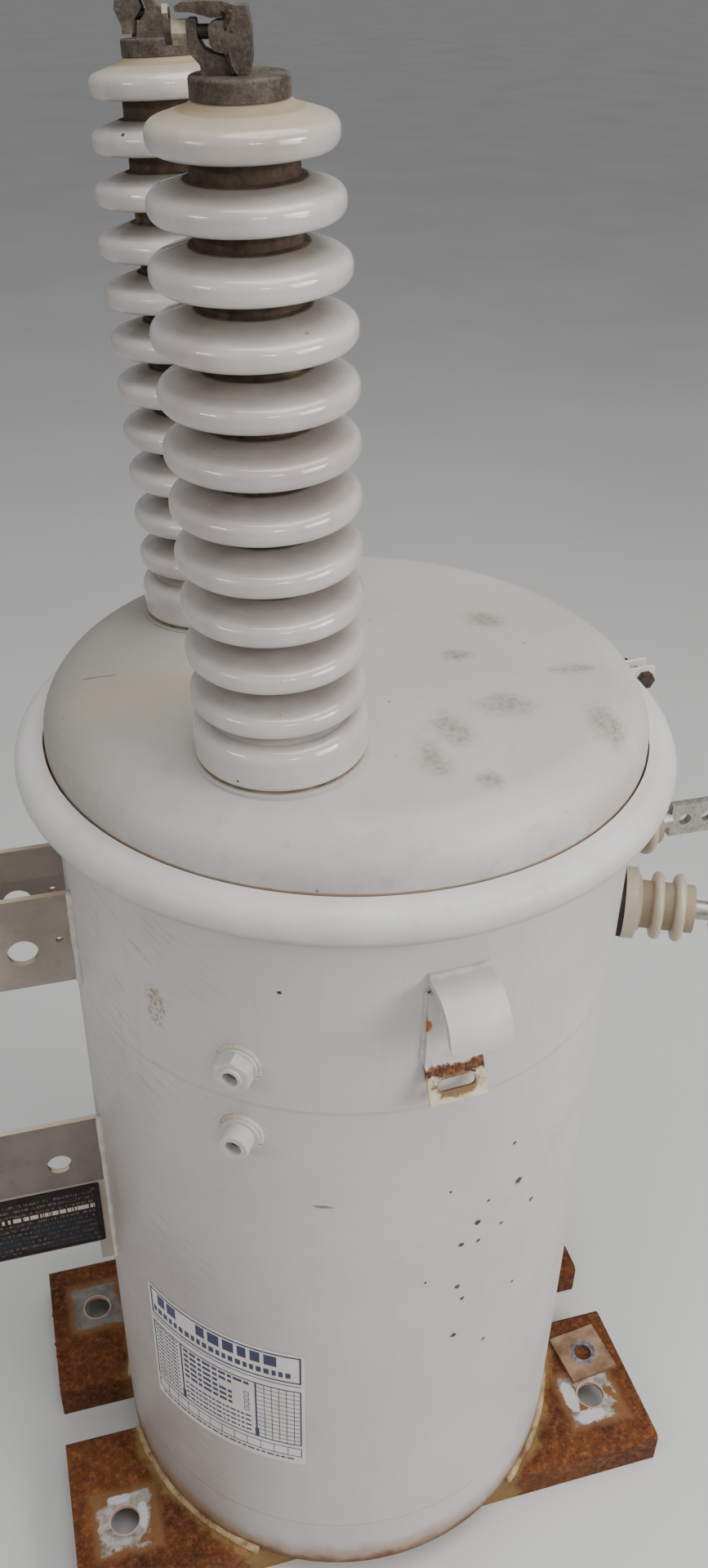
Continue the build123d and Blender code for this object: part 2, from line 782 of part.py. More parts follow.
plate_length = carrier_length - nameplate_wall_margin - nameplate_margin
plate_middle_x = carrier_end_x - nameplate_wall_margin - plate_length / 2
with BuildPart() as nameplate:
    with BuildSketch(Plane.XZ.offset(hanger_half_width)):
        with Locations((plate_middle_x, carrier_middle)):
            RectangleRounded(plate_length, carrier_height - 2 * nameplate_margin, nameplate_corner)
    extrude(amount=nameplate_thickness)

# Lifting hooks, each a strip bent out and down from the wall
hook_out = radial(hook_angle)
hook_plane = Plane((0, 0, 0), hook_out, radial(hook_angle - 90))
hook_bend_start = tank_radius + hook_flat
hook_face = hook_bend_start + hook_bend
hook_knee = hook_top - hook_bend
hook_end = hook_knee - hook_drop
hook_under = hook_top - hook_plate
with BuildPart() as hook_front:
    with BuildSketch(hook_plane):
        with BuildLine():
            crown = Line((tank_inner_radius, hook_top), (hook_bend_start, hook_top))
            outer = TangentArc(crown @ 1, (hook_face, hook_knee), tangent=(1, 0))
            Line(outer @ 1, (hook_face, hook_end))
            Line((hook_face, hook_end), (hook_face - hook_plate, hook_end))
            rise = Line((hook_face - hook_plate, hook_end), (hook_face - hook_plate, hook_knee))
            inner = TangentArc(rise @ 1, (hook_bend_start, hook_under), tangent=(0, 1))
            Line(inner @ 1, (tank_inner_radius, hook_under))
            Line((tank_inner_radius, hook_under), (tank_inner_radius, hook_top))
        make_face()
    extrude(amount=hook_width / 2, both=True)
    lowest_face = hook_front.faces().sort_by(Axis.Z)[0]
    fillet(lowest_face.edges().filter_by(Axis((0, 0, 0), hook_out)), hook_corner)
    with BuildSketch(Plane.XY.offset(hook_top)):
        Circle(tank_radius + weld_gap)
    extrude(amount=-hook_plate, mode=Mode.SUBTRACT)

with BuildPart() as hook_back:
    mirror(hook_front.part, about=Plane.XZ)

# Slotted tabs, each bent out at the bottom of its back plate
lean_out = math.sin(math.radians(tab_lean))
lean_down = math.cos(math.radians(tab_lean))
tab_face = tank_radius + tab_plate
tab_tip = (tab_face + tab_length * lean_out, tab_bend_height - tab_length * lean_down)
tab_back_bend = (tab_face - tab_plate * lean_down, tab_bend_height - tab_plate * lean_out)
tab_outline = [
    (tank_radius - tab_plate, tab_back_top),
    (tab_face, tab_back_top),
    (tab_face, tab_bend_height),
    tab_tip,
    (tab_tip[0] - tab_plate * lean_down, tab_tip[1] - tab_plate * lean_out),
    tab_back_bend,
    (tank_radius - tab_plate, tab_back_bend[1]),
]
slot_reach = tab_length - tab_slot_from_tip
slot_centre = hook_out * (tab_face + slot_reach * lean_out)
slot_centre += Vector(0, 0, tab_bend_height - slot_reach * lean_down)
slot_way = hook_out * lean_down + Vector(0, 0, lean_out)
with BuildPart() as tab_front:
    with BuildSketch(hook_plane):
        with BuildLine():
            Polyline(*tab_outline, close=True)
        make_face()
    extrude(amount=tab_width / 2, both=True)
    with BuildSketch(Plane(slot_centre, radial(hook_angle + 90), slot_way)):
        SlotOverall(tab_slot_length, tab_slot_width)
    extrude(amount=-2 * tab_plate, mode=Mode.SUBTRACT)
    with BuildSketch(Plane.XY.offset(tab_back_top)):
        Circle(tank_radius + weld_gap)
    extrude(amount=-(tab_back_top - tab_bend_height + tab_length), mode=Mode.SUBTRACT)

with BuildPart() as tab_back:
    mirror(tab_front.part, about=Plane.XZ)


# Plugged fittings, each on a weld collar and with a square-socket plug sunk in its mouth
fitting_out = radial(fitting_angle)


def fitting_plane(height, reach):
    return Plane(fitting_out * (tank_radius + reach) + Vector(0, 0, height), (0, 0, 1), fitting_out)


with BuildPart() as fitting_upper:
    with BuildSketch(fitting_plane(fitting_upper_height, fitting_collar_length)):
        Circle(fitting_collar_radius)
    extrude(amount=-2 * fitting_collar_length)
    with BuildSketch(fitting_plane(fitting_upper_height, fitting_collar_length)):
        RegularPolygon(fitting_upper_across / 2, 6, major_radius=False)
    extrude(amount=fitting_upper_length - fitting_collar_length)
    with BuildSketch(fitting_plane(fitting_upper_height, fitting_upper_length)):
        Circle(fitting_upper_nose_radius)
    extrude(amount=fitting_upper_nose)
    with BuildSketch(fitting_plane(fitting_upper_height, fitting_upper_length + fitting_upper_nose)):
        Circle(fitting_upper_mouth)
    extrude(amount=-(fitting_upper_depth + plug_length), mode=Mode.SUBTRACT)
    with BuildSketch(Plane.XY.offset(fitting_upper_height - fitting_collar_radius)):
        Circle(tank_radius + weld_gap)
    extrude(amount=2 * fitting_collar_radius, mode=Mode.SUBTRACT)

with BuildPart() as fitting_lower:
    with BuildSketch(fitting_plane(fitting_lower_height, fitting_collar_length)):
        Circle(fitting_collar_radius)
    extrude(amount=-2 * fitting_collar_length)
    with BuildSketch(fitting_plane(fitting_lower_height, fitting_collar_length)):
        Circle(fitting_lower_radius)
    extrude(amount=fitting_lower_length - fitting_collar_length)
    mouth_face = fitting_lower.faces().sort_by(Axis((0, 0, 0), fitting_out))[-1]
    fillet(mouth_face.edges(), fitting_lower_round)
    with BuildSketch(fitting_plane(fitting_lower_height, fitting_lower_length)):
        Circle(fitting_lower_mouth)
    extrude(amount=-(fitting_lower_depth + plug_length), mode=Mode.SUBTRACT)
    with BuildSketch(Plane.XY.offset(fitting_lower_height - fitting_collar_radius)):
        Circle(tank_radius + weld_gap)
    extrude(amount=2 * fitting_collar_radius, mode=Mode.SUBTRACT)


def socket_plug(height, reach, mouth_radius):
    with BuildPart() as plug:
        with BuildSketch(fitting_plane(height, reach)):
            Circle(mouth_radius - seat_gap)
        extrude(amount=-plug_length)
        with BuildSketch(fitting_plane(height, reach)):
            Rectangle(plug_square, plug_square)
        extrude(amount=-plug_square_depth, mode=Mode.SUBTRACT)
    return plug


plug_upper_reach = fitting_upper_length + fitting_upper_nose - fitting_upper_depth
plug_lower_reach = fitting_lower_length - fitting_lower_depth
plug_upper = socket_plug(fitting_upper_height, plug_upper_reach, fitting_upper_mouth)
plug_lower = socket_plug(fitting_lower_height, plug_lower_reach, fitting_lower_mouth)

# Grounding boss
with BuildPart() as ground_boss:
    with BuildSketch(Plane((tank_radius + ground_length, 0, ground_height), (0, 1, 0), (1, 0, 0))):
        Circle(ground_radius)
        Circle(ground_thread_radius, mode=Mode.SUBTRACT)
    extrude(amount=-2 * ground_length)
    with BuildSketch(Plane.XY.offset(ground_height - ground_radius)):
        Circle(tank_radius + weld_gap)
    extrude(amount=2 * ground_radius, mode=Mode.SUBTRACT)

# Core and coils
core_bottom = rail_height + floor_recess + floor_thickness
core_window = (core_width - 3 * core_leg) / 2
window_height = core_height - 2 * core_leg
coil_build = core_window - coil_yoke_gap
with BuildPart() as core_stack:
    with BuildSketch(Plane.XY.offset(core_bottom)):
        Rectangle(core_width, core_depth)
    extrude(amount=core_height)
    with BuildSketch(Plane.XZ.offset(-core_depth / 2)):
        with Locations((0, core_bottom + core_height / 2)):
            with GridLocations(core_leg + core_window, 0, 2, 1):
                Rectangle(core_window, window_height)
    extrude(amount=core_depth, mode=Mode.SUBTRACT)

with BuildPart() as coil_pack:
    with BuildSketch(Plane.XY.offset(core_bottom + core_leg + seat_gap)):
        Rectangle(core_leg + 2 * coil_build, core_depth + 2 * coil_build)
        Rectangle(core_leg + 2 * seat_gap, core_depth + 2 * seat_gap, mode=Mode.SUBTRACT)
    extrude(amount=window_height - 2 * seat_gap)

# Every piece by its name
pieces = {
    "base_rail_front": base_rail_front,
    "base_rail_back": base_rail_back,
    "loose_washer": loose_washer,
    "tank_shell": tank_shell,
    "tank_floor": tank_floor,
    "cover_gasket": cover_gasket,
    "cover": cover,
    "clamp_band": clamp_band,
    "band_bolt": band_bolt,
    "hv_bushing_front": hv_bushing_front,
    "hv_bushing_back": hv_bushing_back,
    "hv_gasket_front": hv_gasket_front,
    "hv_gasket_back": hv_gasket_back,
    "hv_cap_front": hv_cap_front,
    "hv_cap_back": hv_cap_back,
    "hv_jaw_front": hv_jaw_front,
    "hv_jaw_back": hv_jaw_back,
    "hv_bolt_front": hv_bolt_front,
    "hv_bolt_back": hv_bolt_back,
    "hv_nut_front": hv_nut_front,
    "hv_nut_back": hv_nut_back,
    "hanger_upper": hanger_upper,
    "hanger_lower": hanger_lower,
    "nameplate_carrier": nameplate_carrier,
    "nameplate": nameplate,
    "hook_front": hook_front,
    "hook_back": hook_back,
    "tab_front": tab_front,
    "tab_back": tab_back,
    "fitting_upper": fitting_upper,
    "fitting_lower": fitting_lower,
    "plug_upper": plug_upper,
    "plug_lower": plug_lower,
    "ground_boss": ground_boss,
    "core_stack": core_stack,
    "coil_pack": coil_pack,
    **lv_pieces,
}
for name, piece in pieces.items():
    piece.part.label = name
    export_step(piece.part, f"parts/{name}.step")
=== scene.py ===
import math
import random

import bpy
from mathutils import Euler, Matrix, Vector, noise


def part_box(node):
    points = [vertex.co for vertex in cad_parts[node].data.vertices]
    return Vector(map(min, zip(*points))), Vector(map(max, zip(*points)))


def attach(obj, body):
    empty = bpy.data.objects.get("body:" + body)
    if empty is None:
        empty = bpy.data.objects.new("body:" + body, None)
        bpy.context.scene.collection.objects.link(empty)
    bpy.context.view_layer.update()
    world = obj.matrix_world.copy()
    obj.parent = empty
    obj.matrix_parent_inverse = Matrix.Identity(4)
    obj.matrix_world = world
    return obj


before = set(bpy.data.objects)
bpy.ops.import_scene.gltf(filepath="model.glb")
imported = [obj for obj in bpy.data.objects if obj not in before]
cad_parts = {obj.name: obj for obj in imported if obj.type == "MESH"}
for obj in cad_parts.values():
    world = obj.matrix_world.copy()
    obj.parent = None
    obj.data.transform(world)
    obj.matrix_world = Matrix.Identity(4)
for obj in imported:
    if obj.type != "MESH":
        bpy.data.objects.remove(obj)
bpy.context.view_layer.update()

# Sizes and places that the dressing shares with the frame, in metres
tank_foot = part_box("tank_shell")[0].z
tank_radius = 0.280
seam_heights = (0.137, 0.826)
rail_low, rail_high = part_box("base_rail_front")
rail_top = rail_high.z
rail_inner = -rail_high.y
rail_outer = -rail_low.y
rail_hole_x = 0.312
rail_hole_y = 0.153
washer_x = 0.325
washer_y = -0.096
band_inner_edge = 0.2833
hook_azimuth = math.radians(-86)
hook_half_width = 0.0275
tab_plate_low = 0.884
fitting_azimuth = math.radians(-124.4)
fitting_heights = (0.871, 0.7855)
dome_radius = 2.650
bushing_reach = 0.1686
bushing_azimuth = math.radians(140.2)
bushing_lean = math.asin(bushing_reach / dome_radius)
bushing_core = 0.0375
bushing_rim = 0.07
cap_height = 0.0125
lv_azimuths = {"front": -25, "middle": 0, "back": 25}
lv_height = 0.880
lv_core = 0.022
lv_rim = 0.036
view_azimuth = math.radians(-15.9)


def hue(red, green, blue):
    """A colour given as the eye reads it on screen, 0 to 255, turned into linear light."""
    linear = []
    for part in (red, green, blue):
        share = part / 255
        linear.append(share / 12.92 if share <= 0.04045 else ((share + 0.055) / 1.055) ** 2.4)
    return (*linear, 1.0)


class Look:
    """A Principled material and the nodes that feed it."""

    def __init__(self, name, roughness=0.5, metallic=0.0):
        self.material = bpy.data.materials.new(name)
        self.material.use_nodes = True
        self.nodes = self.material.node_tree.nodes
        self.links = self.material.node_tree.links
        self.shader = self.nodes["Principled BSDF"]
        self.shader.inputs["Roughness"].default_value = roughness
        self.shader.inputs["Metallic"].default_value = metallic
        self.place = self.add("ShaderNodeTexCoord").outputs["Object"]

    def add(self, kind, inputs=None, **settings):
        node = self.nodes.new(kind)
        for key, value in settings.items():
            setattr(node, key, value)
        for key, value in (inputs or {}).items():
            if isinstance(value, bpy.types.NodeSocket):
                self.links.new(value, node.inputs[key])
            else:
                node.inputs[key].default_value = value
        return node

    def noise(self, scale, detail, rough, stretch=None, at=None, twist=0.0):
        vector = at or self.place
        if stretch:
            inputs = {"Vector": vector, "Scale": stretch}
            vector = self.add("ShaderNodeMapping", inputs).outputs[0]
        inputs = {
            "Vector": vector, "Scale": scale, "Detail": detail,
            "Roughness": rough, "Distortion": twist,
        }
        return self.add("ShaderNodeTexNoise", inputs).outputs["Fac"]

    def cells(self, scale):
        inputs = {"Vector": self.place, "Scale": scale}
        return self.add("ShaderNodeTexVoronoi", inputs).outputs["Distance"]

    def math(self, operation, first, second=0.0, third=0.0):
        inputs = {0: first, 1: second, 2: third}
        return self.add("ShaderNodeMath", inputs, operation=operation).outputs[0]

    def vector(self, operation, first, second=(0, 0, 0), output="Vector"):
        inputs = {0: first, 1: second}
        return self.add("ShaderNodeVectorMath", inputs, operation=operation).outputs[output]

    def product(self, first, *others):
        for other in others:
            first = self.math("MULTIPLY", first, other)
        return first

    def apart(self, value, middle):
        """How far a value is from a middle, either way."""
        return self.math("ABSOLUTE", self.math("SUBTRACT", value, middle))

    def radius(self, x, y):
        return self.math("SQRT", self.math("ADD", self.product(x, x), self.product(y, y)))

    def shaken(self, value, wobble, swing):
        """A value that a noise moves by up to half of swing either way."""
        return self.math("ADD", value, self.math("MULTIPLY_ADD", wobble, swing, -swing / 2))

    def between(self, value, low, high, out_low=0.0, out_high=1.0):
        """Smoothly from out_low at low to out_high at high; low may be the larger."""
        inputs = {
            "Value": value, "From Min": low, "From Max": high,
            "To Min": out_low, "To Max": out_high,
        }
        return self.add("ShaderNodeMapRange", inputs, interpolation_type="SMOOTHSTEP").outputs[0]

    def ramp(self, value, *stops):
        node = self.add("ShaderNodeValToRGB", {"Fac": value})
        elements = node.color_ramp.elements
        while len(elements) < len(stops):
            elements.new(0.5)
        for element, (position, colour) in zip(elements, stops):
            element.position = position
            element.color = colour
        return node.outputs["Color"]

    def tint(self, base, colour, mask, amount=None):
        """base under a colour that shows where the mask is 1, as strongly as amount."""
        if amount is not None:
            mask = self.product(mask, amount)
        inputs = {0: mask, 6: base, 7: colour}
        return self.add("ShaderNodeMix", inputs, data_type="RGBA", blend_type="MIX").outputs[2]

    def split(self, vector=None):
        return self.add("ShaderNodeSeparateXYZ", {0: vector or self.place}).outputs

    def upright(self, kind):
        """The upward share of one of the surface's normals."""
        return self.split(self.add("ShaderNodeNewGeometry").outputs[kind])[2]

    def near(self, point, radius, soft, wobble=None, squeeze=None):
        """1 close to a point and 0 past radius, with a ragged edge where wobble is a noise."""
        offset = self.vector("SUBTRACT", self.place, point)
        if squeeze:
            offset = self.vector("MULTIPLY", offset, squeeze)
        reach = self.vector("LENGTH", offset, output="Value")
        if wobble:
            reach = self.shaken(reach, wobble, radius * 1.4)
        return self.between(reach, radius, radius * (1 - soft))

    def any_of(self, masks):
        total = masks[0]
        for mask in masks[1:]:
            total = self.math("MAXIMUM", total, mask)
        return total

    def bump(self, height, distance, strength):
        previous = self.shader.inputs["Normal"].links
        inputs = {"Height": height, "Distance": distance, "Strength": strength}
        if previous:
            inputs["Normal"] = previous[0].from_socket
        node = self.add("ShaderNodeBump", inputs)
        self.links.new(node.outputs[0], self.shader.inputs["Normal"])

    def colour(self, socket):
        self.links.new(socket, self.shader.inputs["Base Color"])
        return self.material

    def rough(self, socket):
        self.links.new(socket, self.shader.inputs["Roughness"])


def wall_point(azimuth, height):
    """A point on the tank's wall, by its azimuth in degrees and its height in metres."""
    turn = math.radians(azimuth)
    return (tank_radius * math.cos(turn), tank_radius * math.sin(turn), height)


# Chips in the tank's paint: azimuth in degrees, height and radius in metres
chip_places = [
    (-80.5, 0.614, 0.0032), (-77.0, 0.638, 0.0038), (-76.4, 0.609, 0.0026),
    (-67.2, 0.668, 0.0046), (-69.7, 0.730, 0.0024), (-62.2, 0.621, 0.0030),
    (-80.5, 0.548, 0.0034), (-79.0, 0.524, 0.0028), (-80.3, 0.466, 0.0036),
    (-74.9, 0.664, 0.0020), (-70.7, 0.617, 0.0022), (-88.0, 0.572, 0.0018),
    (-116.6, 0.962, 0.0020), (-72.0, 0.430, 0.0026), (-65.0, 0.500, 0.0022),
    (-84.0, 0.700, 0.0016),
]
smudge_place = wall_point(-141.7, 0.900)
dash_place = wall_point(-109.1, 0.701)


# Paint on the tank's wall
def tank_paint():
    look = Look("tank_paint", roughness=0.42)
    x, y, z = look.split()
    turn = look.math("ARCTAN2", y, x)
    along = look.product(turn, tank_radius)
    wall = look.add("ShaderNodeCombineXYZ", {0: along, 1: z}).outputs[0]
    slant = {"Vector": wall, "Rotation": (0, 0, math.radians(24))}
    slanted = look.add("ShaderNodeMapping", slant).outputs[0]
    cloud = look.noise(3.2, 5, 0.6)
    base = look.ramp(
        cloud, (0.3, hue(198, 190, 186)), (0.5, hue(206, 201, 199)), (0.72, hue(213, 211, 211))
    )
    streak = look.noise(5.0, 5, 0.6, stretch=(14, 0.8, 1), at=wall)
    base = look.tint(base, hue(188, 184, 182), look.between(streak, 0.5, 0.8, 0, 0.35))
    grime = look.noise(14, 8, 0.7)
    base = look.tint(base, hue(176, 170, 166), look.between(grime, 0.54, 0.8, 0, 0.32))

    # Fine slanting scratches, thickest on the side of the hangers
    scored = look.noise(1.0, 7, 0.75, stretch=(16, 520, 1), at=slanted)
    hanger_side = look.between(turn, math.radians(-112), math.radians(-145))
    band = look.product(hanger_side, look.between(look.noise(7, 3, 0.5), 0.42, 0.6))
    # Painted shade on the side turned away from the light, stronger lower down
    turned_away = look.between(turn, math.radians(-104), math.radians(-150))
    shade = look.product(turned_away, look.between(z, 0.90, 0.40))
    base = look.tint(base, hue(160, 148, 142), shade, 0.8)
    thickness = look.math("MULTIPLY_ADD", band, 0.85, 0.12)
    scratch = look.product(look.between(scored, 0.56, 0.63), thickness)
    base = look.tint(base, hue(120, 112, 109), scratch, 0.8)
    rubbed = look.product(look.between(scored, 0.44, 0.38), look.product(band, 0.5))
    base = look.tint(base, hue(222, 216, 212), rubbed)

    # Yellowed grime low on the wall, and painted shade just under the rim
    ragged = look.noise(26, 6, 0.65)
    foot = look.math("ADD", z, look.product(ragged, -0.045))
    low = look.between(foot, tank_foot + 0.028, tank_foot - 0.012)
    base = look.tint(base, hue(150, 112, 70), low, 0.75)
    edge_rust = look.between(foot, tank_foot - 0.004, tank_foot - 0.022)
    base = look.tint(base, hue(104, 58, 30), edge_rust)
    # Painted shade just under the rim, where the band overhangs the wall
    shade_under_rim = look.between(z, 1.000, 1.025, 0, 0.25)
    base = look.tint(base, hue(170, 162, 150), shade_under_rim)

    # Chips down to the dark steel, with a thin brown edge
    wobble = look.noise(420, 3, 0.6)
    cores, rims = [], []
    for azimuth, height, radius in chip_places:
        point = wall_point(azimuth, height)
        cores.append(look.near(point, radius, 0.25, wobble))
        rims.append(look.near(point, radius * 1.55, 0.5, wobble))
    base = look.tint(base, hue(150, 122, 92), look.any_of(rims), 0.45)
    base = look.tint(base, hue(48, 42, 38), look.any_of(cores))

    # One speckled smudge and one short brown dash
    smudge = look.near(smudge_place, 0.013, 0.35, look.noise(90, 4, 0.6), squeeze=(1, 1, 0.45))
    smudge = look.product(smudge, look.between(look.noise(210, 4, 0.7), 0.46, 0.58, 0.1, 0.8))
    base = look.tint(base, hue(148, 122, 84), smudge)
    dash = look.near(dash_place, 0.006, 0.5, wobble, squeeze=(0.5, 0.5, 2.4))
    base = look.tint(base, hue(128, 84, 48), dash, 0.8)

    # Seams of the rolled wall
    for height in seam_heights:
        off = look.apart(z, height)
        line = look.between(off, 0.0022, 0.0004)
        base = look.tint(base, hue(150, 146, 144), line, 0.22)
        look.bump(look.between(off, 0.0035, 0.0008), 0.0006, 0.8)
    look.bump(look.noise(900, 3, 0.6), 0.00012, 0.35)
    look.bump(look.noise(9, 3, 0.5), 0.0016, 0.18)
    look.rough(look.between(grime, 0.3, 0.75, 0.36, 0.58))
    return look.colour(base)


# Rubbed smudges on the cover: place, radius and squeeze
cover_smudges = [
    ((0.195, -0.068, 1.124), 0.022, (0.7, 1.6, 1)),
    ((0.188, -0.162, 1.117), 0.030, (1.3, 0.7, 1)),
    ((0.020, -0.187, 1.126), 0.028, (1.4, 0.7, 1)),
    ((0.056, -0.222, 1.121), 0.018, (1, 1, 1)),
    ((0.097, -0.029, 1.134), 0.024, (1, 1.5, 1)),
    ((0.110, -0.120, 1.128), 0.034, (0.8, 1.3, 1)),
    ((0.050, -0.150, 1.128), 0.030, (1.2, 0.8, 1)),
    ((0.150, 0.040, 1.130), 0.036, (1, 1.4, 1)),
]
yellow_place = (-0.185, -0.02, 1.126)
scratch_x = -0.2257
scratch_y = 0.0233


# Paint on the cover
def cover_paint():
    look = Look("cover_paint", roughness=0.5)
    x, y, z = look.split()
    cloud = look.noise(4.5, 6, 0.62)
    base = look.ramp(
        cloud, (0.32, hue(182, 175, 169)), (0.5, hue(198, 193, 189)), (0.7, hue(211, 209, 207))
    )
    speck = look.noise(46, 7, 0.7)
    base = look.tint(base, hue(158, 149, 143), look.between(speck, 0.52, 0.76, 0, 0.5))
    rubbed = look.noise(11, 4, 0.7, twist=1.2)
    base = look.tint(base, hue(214, 212, 210), look.between(rubbed, 0.58, 0.74, 0, 0.4))

    # Painted shade: darker on the flat top, and more so towards the hangers and the back
    base = look.tint(base, hue(172, 169, 162), look.between(z, 1.098, 1.126, 0, 0.6))
    shade_towards_back = look.math("ADD", look.product(x, -0.8), look.product(y, 0.6))
    base = look.tint(base, hue(146, 141, 134), look.between(shade_towards_back, 0.05, 0.24, 0, 0.8))

    # Dark rubbed smudges and a yellowed patch
    wobble = look.noise(38, 6, 0.75)
    smudges = [
        look.near(place, radius, 0.9, wobble, squeeze=squeeze)
        for place, radius, squeeze in cover_smudges
    ]
    speckle = look.between(look.noise(170, 6, 0.75), 0.40, 0.60, 0.35, 0.8)
    base = look.tint(base, hue(128, 116, 104), look.any_of(smudges), speckle)
    yellow = look.near(yellow_place, 0.095, 0.9, wobble, squeeze=(0.8, 1.4, 1))
    base = look.tint(base, hue(188, 170, 134), yellow, 0.4)

    # A short scratch, down to the brown steel
    bent = look.shaken(look.math("SUBTRACT", y, scratch_y), look.noise(30, 2, 0.5), 0.012)
    width = look.between(look.math("ABSOLUTE", bent), 0.0012, 0.0004)
    reach = look.between(look.apart(x, scratch_x), 0.017, 0.014)
    base = look.tint(base, hue(138, 104, 66), width, reach)

    # Small dark specks, and rust where the skirt sinks behind the band
    pin = look.cells(26)
    base = look.tint(base, hue(92, 82, 74), look.between(pin, 0.045, 0.02, 0, 0.75))
    skirt = look.between(look.shaken(z, wobble, 0.003), 1.0707, 1.0694)
    base = look.tint(base, hue(150, 118, 82), skirt, 0.7)
    look.bump(look.noise(620, 4, 0.6), 0.00018, 0.45)
    look.bump(look.noise(7, 3, 0.5), 0.003, 0.2)
    look.rough(look.between(speck, 0.3, 0.7, 0.42, 0.62))
    return look.colour(base)


def small_part_paint(
    name, light, dark, grime, roughness=0.42, inner_rust=None, painted_underside_shade=None, painted_edge_highlight=None
):
    """Paint on the band, the fittings, the hooks, the hangers and the nameplate's carrier."""
    look = Look(name, roughness=roughness)
    cloud = look.noise(10, 5, 0.6)
    base = look.ramp(cloud, (0.35, dark), (0.65, light))
    dirt = look.noise(52, 6, 0.7)
    base = look.tint(base, grime, look.between(dirt, 0.55, 0.78, 0, 0.5))
    if inner_rust:
        x, y, _ = look.split()
        reach = look.shaken(look.radius(x, y), look.noise(34, 4, 0.6), 0.0024)
        line = look.between(reach, inner_rust + 0.0003, inner_rust - 0.0004)
        base = look.tint(base, hue(168, 138, 100), line)
    if painted_underside_shade:
        # Painted shade on the downward-facing underside, deepening to a dark line along its lower
        # edge
        upright = look.upright("Normal")
        base = look.tint(base, painted_underside_shade, look.between(upright, -0.05, -0.7, 0, 0.35))
        base = look.tint(base, painted_underside_shade, look.between(upright, -0.66, -0.82, 0, 0.9))
    if painted_edge_highlight:
        # Painted highlight on the flat upper and lower faces of the plates' edges
        upright = look.upright("True Normal")
        edge = look.between(look.math("ABSOLUTE", upright), 0.6, 0.8)
        base = look.tint(base, painted_edge_highlight, edge)
    look.bump(look.noise(700, 3, 0.6), 0.00012, 0.4)
    look.bump(look.noise(24, 3, 0.5), 0.0008, 0.25)
    look.rough(look.between(dirt, 0.3, 0.75, roughness - 0.06, roughness + 0.14))
    return look.colour(base)


# Bare cream and tan of the slotted tab, with its rust band
def tab_paint(name, side):
    look = Look(name, roughness=0.5)
    _, _, z = look.split()
    cloud = look.noise(30, 6, 0.65)
    base = look.ramp(cloud, (0.35, hue(196, 190, 186)), (0.65, hue(212, 210, 208)))
    leaf = look.between(z, tab_plate_low, 0.876)
    grain = look.noise(46, 5, 0.65)
    bare = look.ramp(grain, (0.32, hue(196, 178, 140)), (0.55, hue(224, 216, 192)))
    base = look.tint(base, bare, leaf)
    wobble = look.noise(120, 5, 0.65)
    slot_place = (0.020, side * 0.293, 0.8615)
    worn = look.near(slot_place, 0.0155, 0.3, wobble, squeeze=(0.62, 1, 1.25))
    base = look.tint(base, hue(132, 104, 64), worn)
    height = look.shaken(z, wobble, 0.018)
    band_foot = look.between(height, 0.8680, 0.8705)
    band_top = look.between(height, 0.8800, 0.8770)
    rust = look.ramp(
        look.noise(210, 6, 0.7),
        (0.40, hue(50, 25, 12)),
        (0.53, hue(112, 58, 24)),
        (0.70, hue(172, 112, 54)),
    )
    base = look.tint(base, rust, band_foot, band_top)
    flake = look.near((0.044, side * 0.295, 0.874), 0.007, 0.4, wobble)
    base = look.tint(base, hue(236, 236, 232), flake)
    edge_place = (-0.007, side * 0.283, 0.928)
    edge = look.near(edge_place, 0.0050, 0.4, wobble, squeeze=(1, 1, 0.5))
    base = look.tint(base, hue(168, 104, 46), edge)
    look.bump(wobble, 0.0008, 0.5)
    look.rough(look.between(cloud, 0.3, 0.7, 0.45, 0.7))
    return look.colour(base)


# White paint left beside the holes of the front rail: place, radius and squeeze
rail_patches = [
    ((-0.290, -0.150, 0.050), 0.011, (1.6, 0.6, 1)),
    ((-0.316, -0.126, 0.050), 0.010, (0.6, 1.6, 1)),
    ((0.284, -0.150, 0.050), 0.014, (1.5, 0.5, 1)),
    ((0.300, -0.180, 0.050), 0.014, (0.6, 1.3, 1)),
]


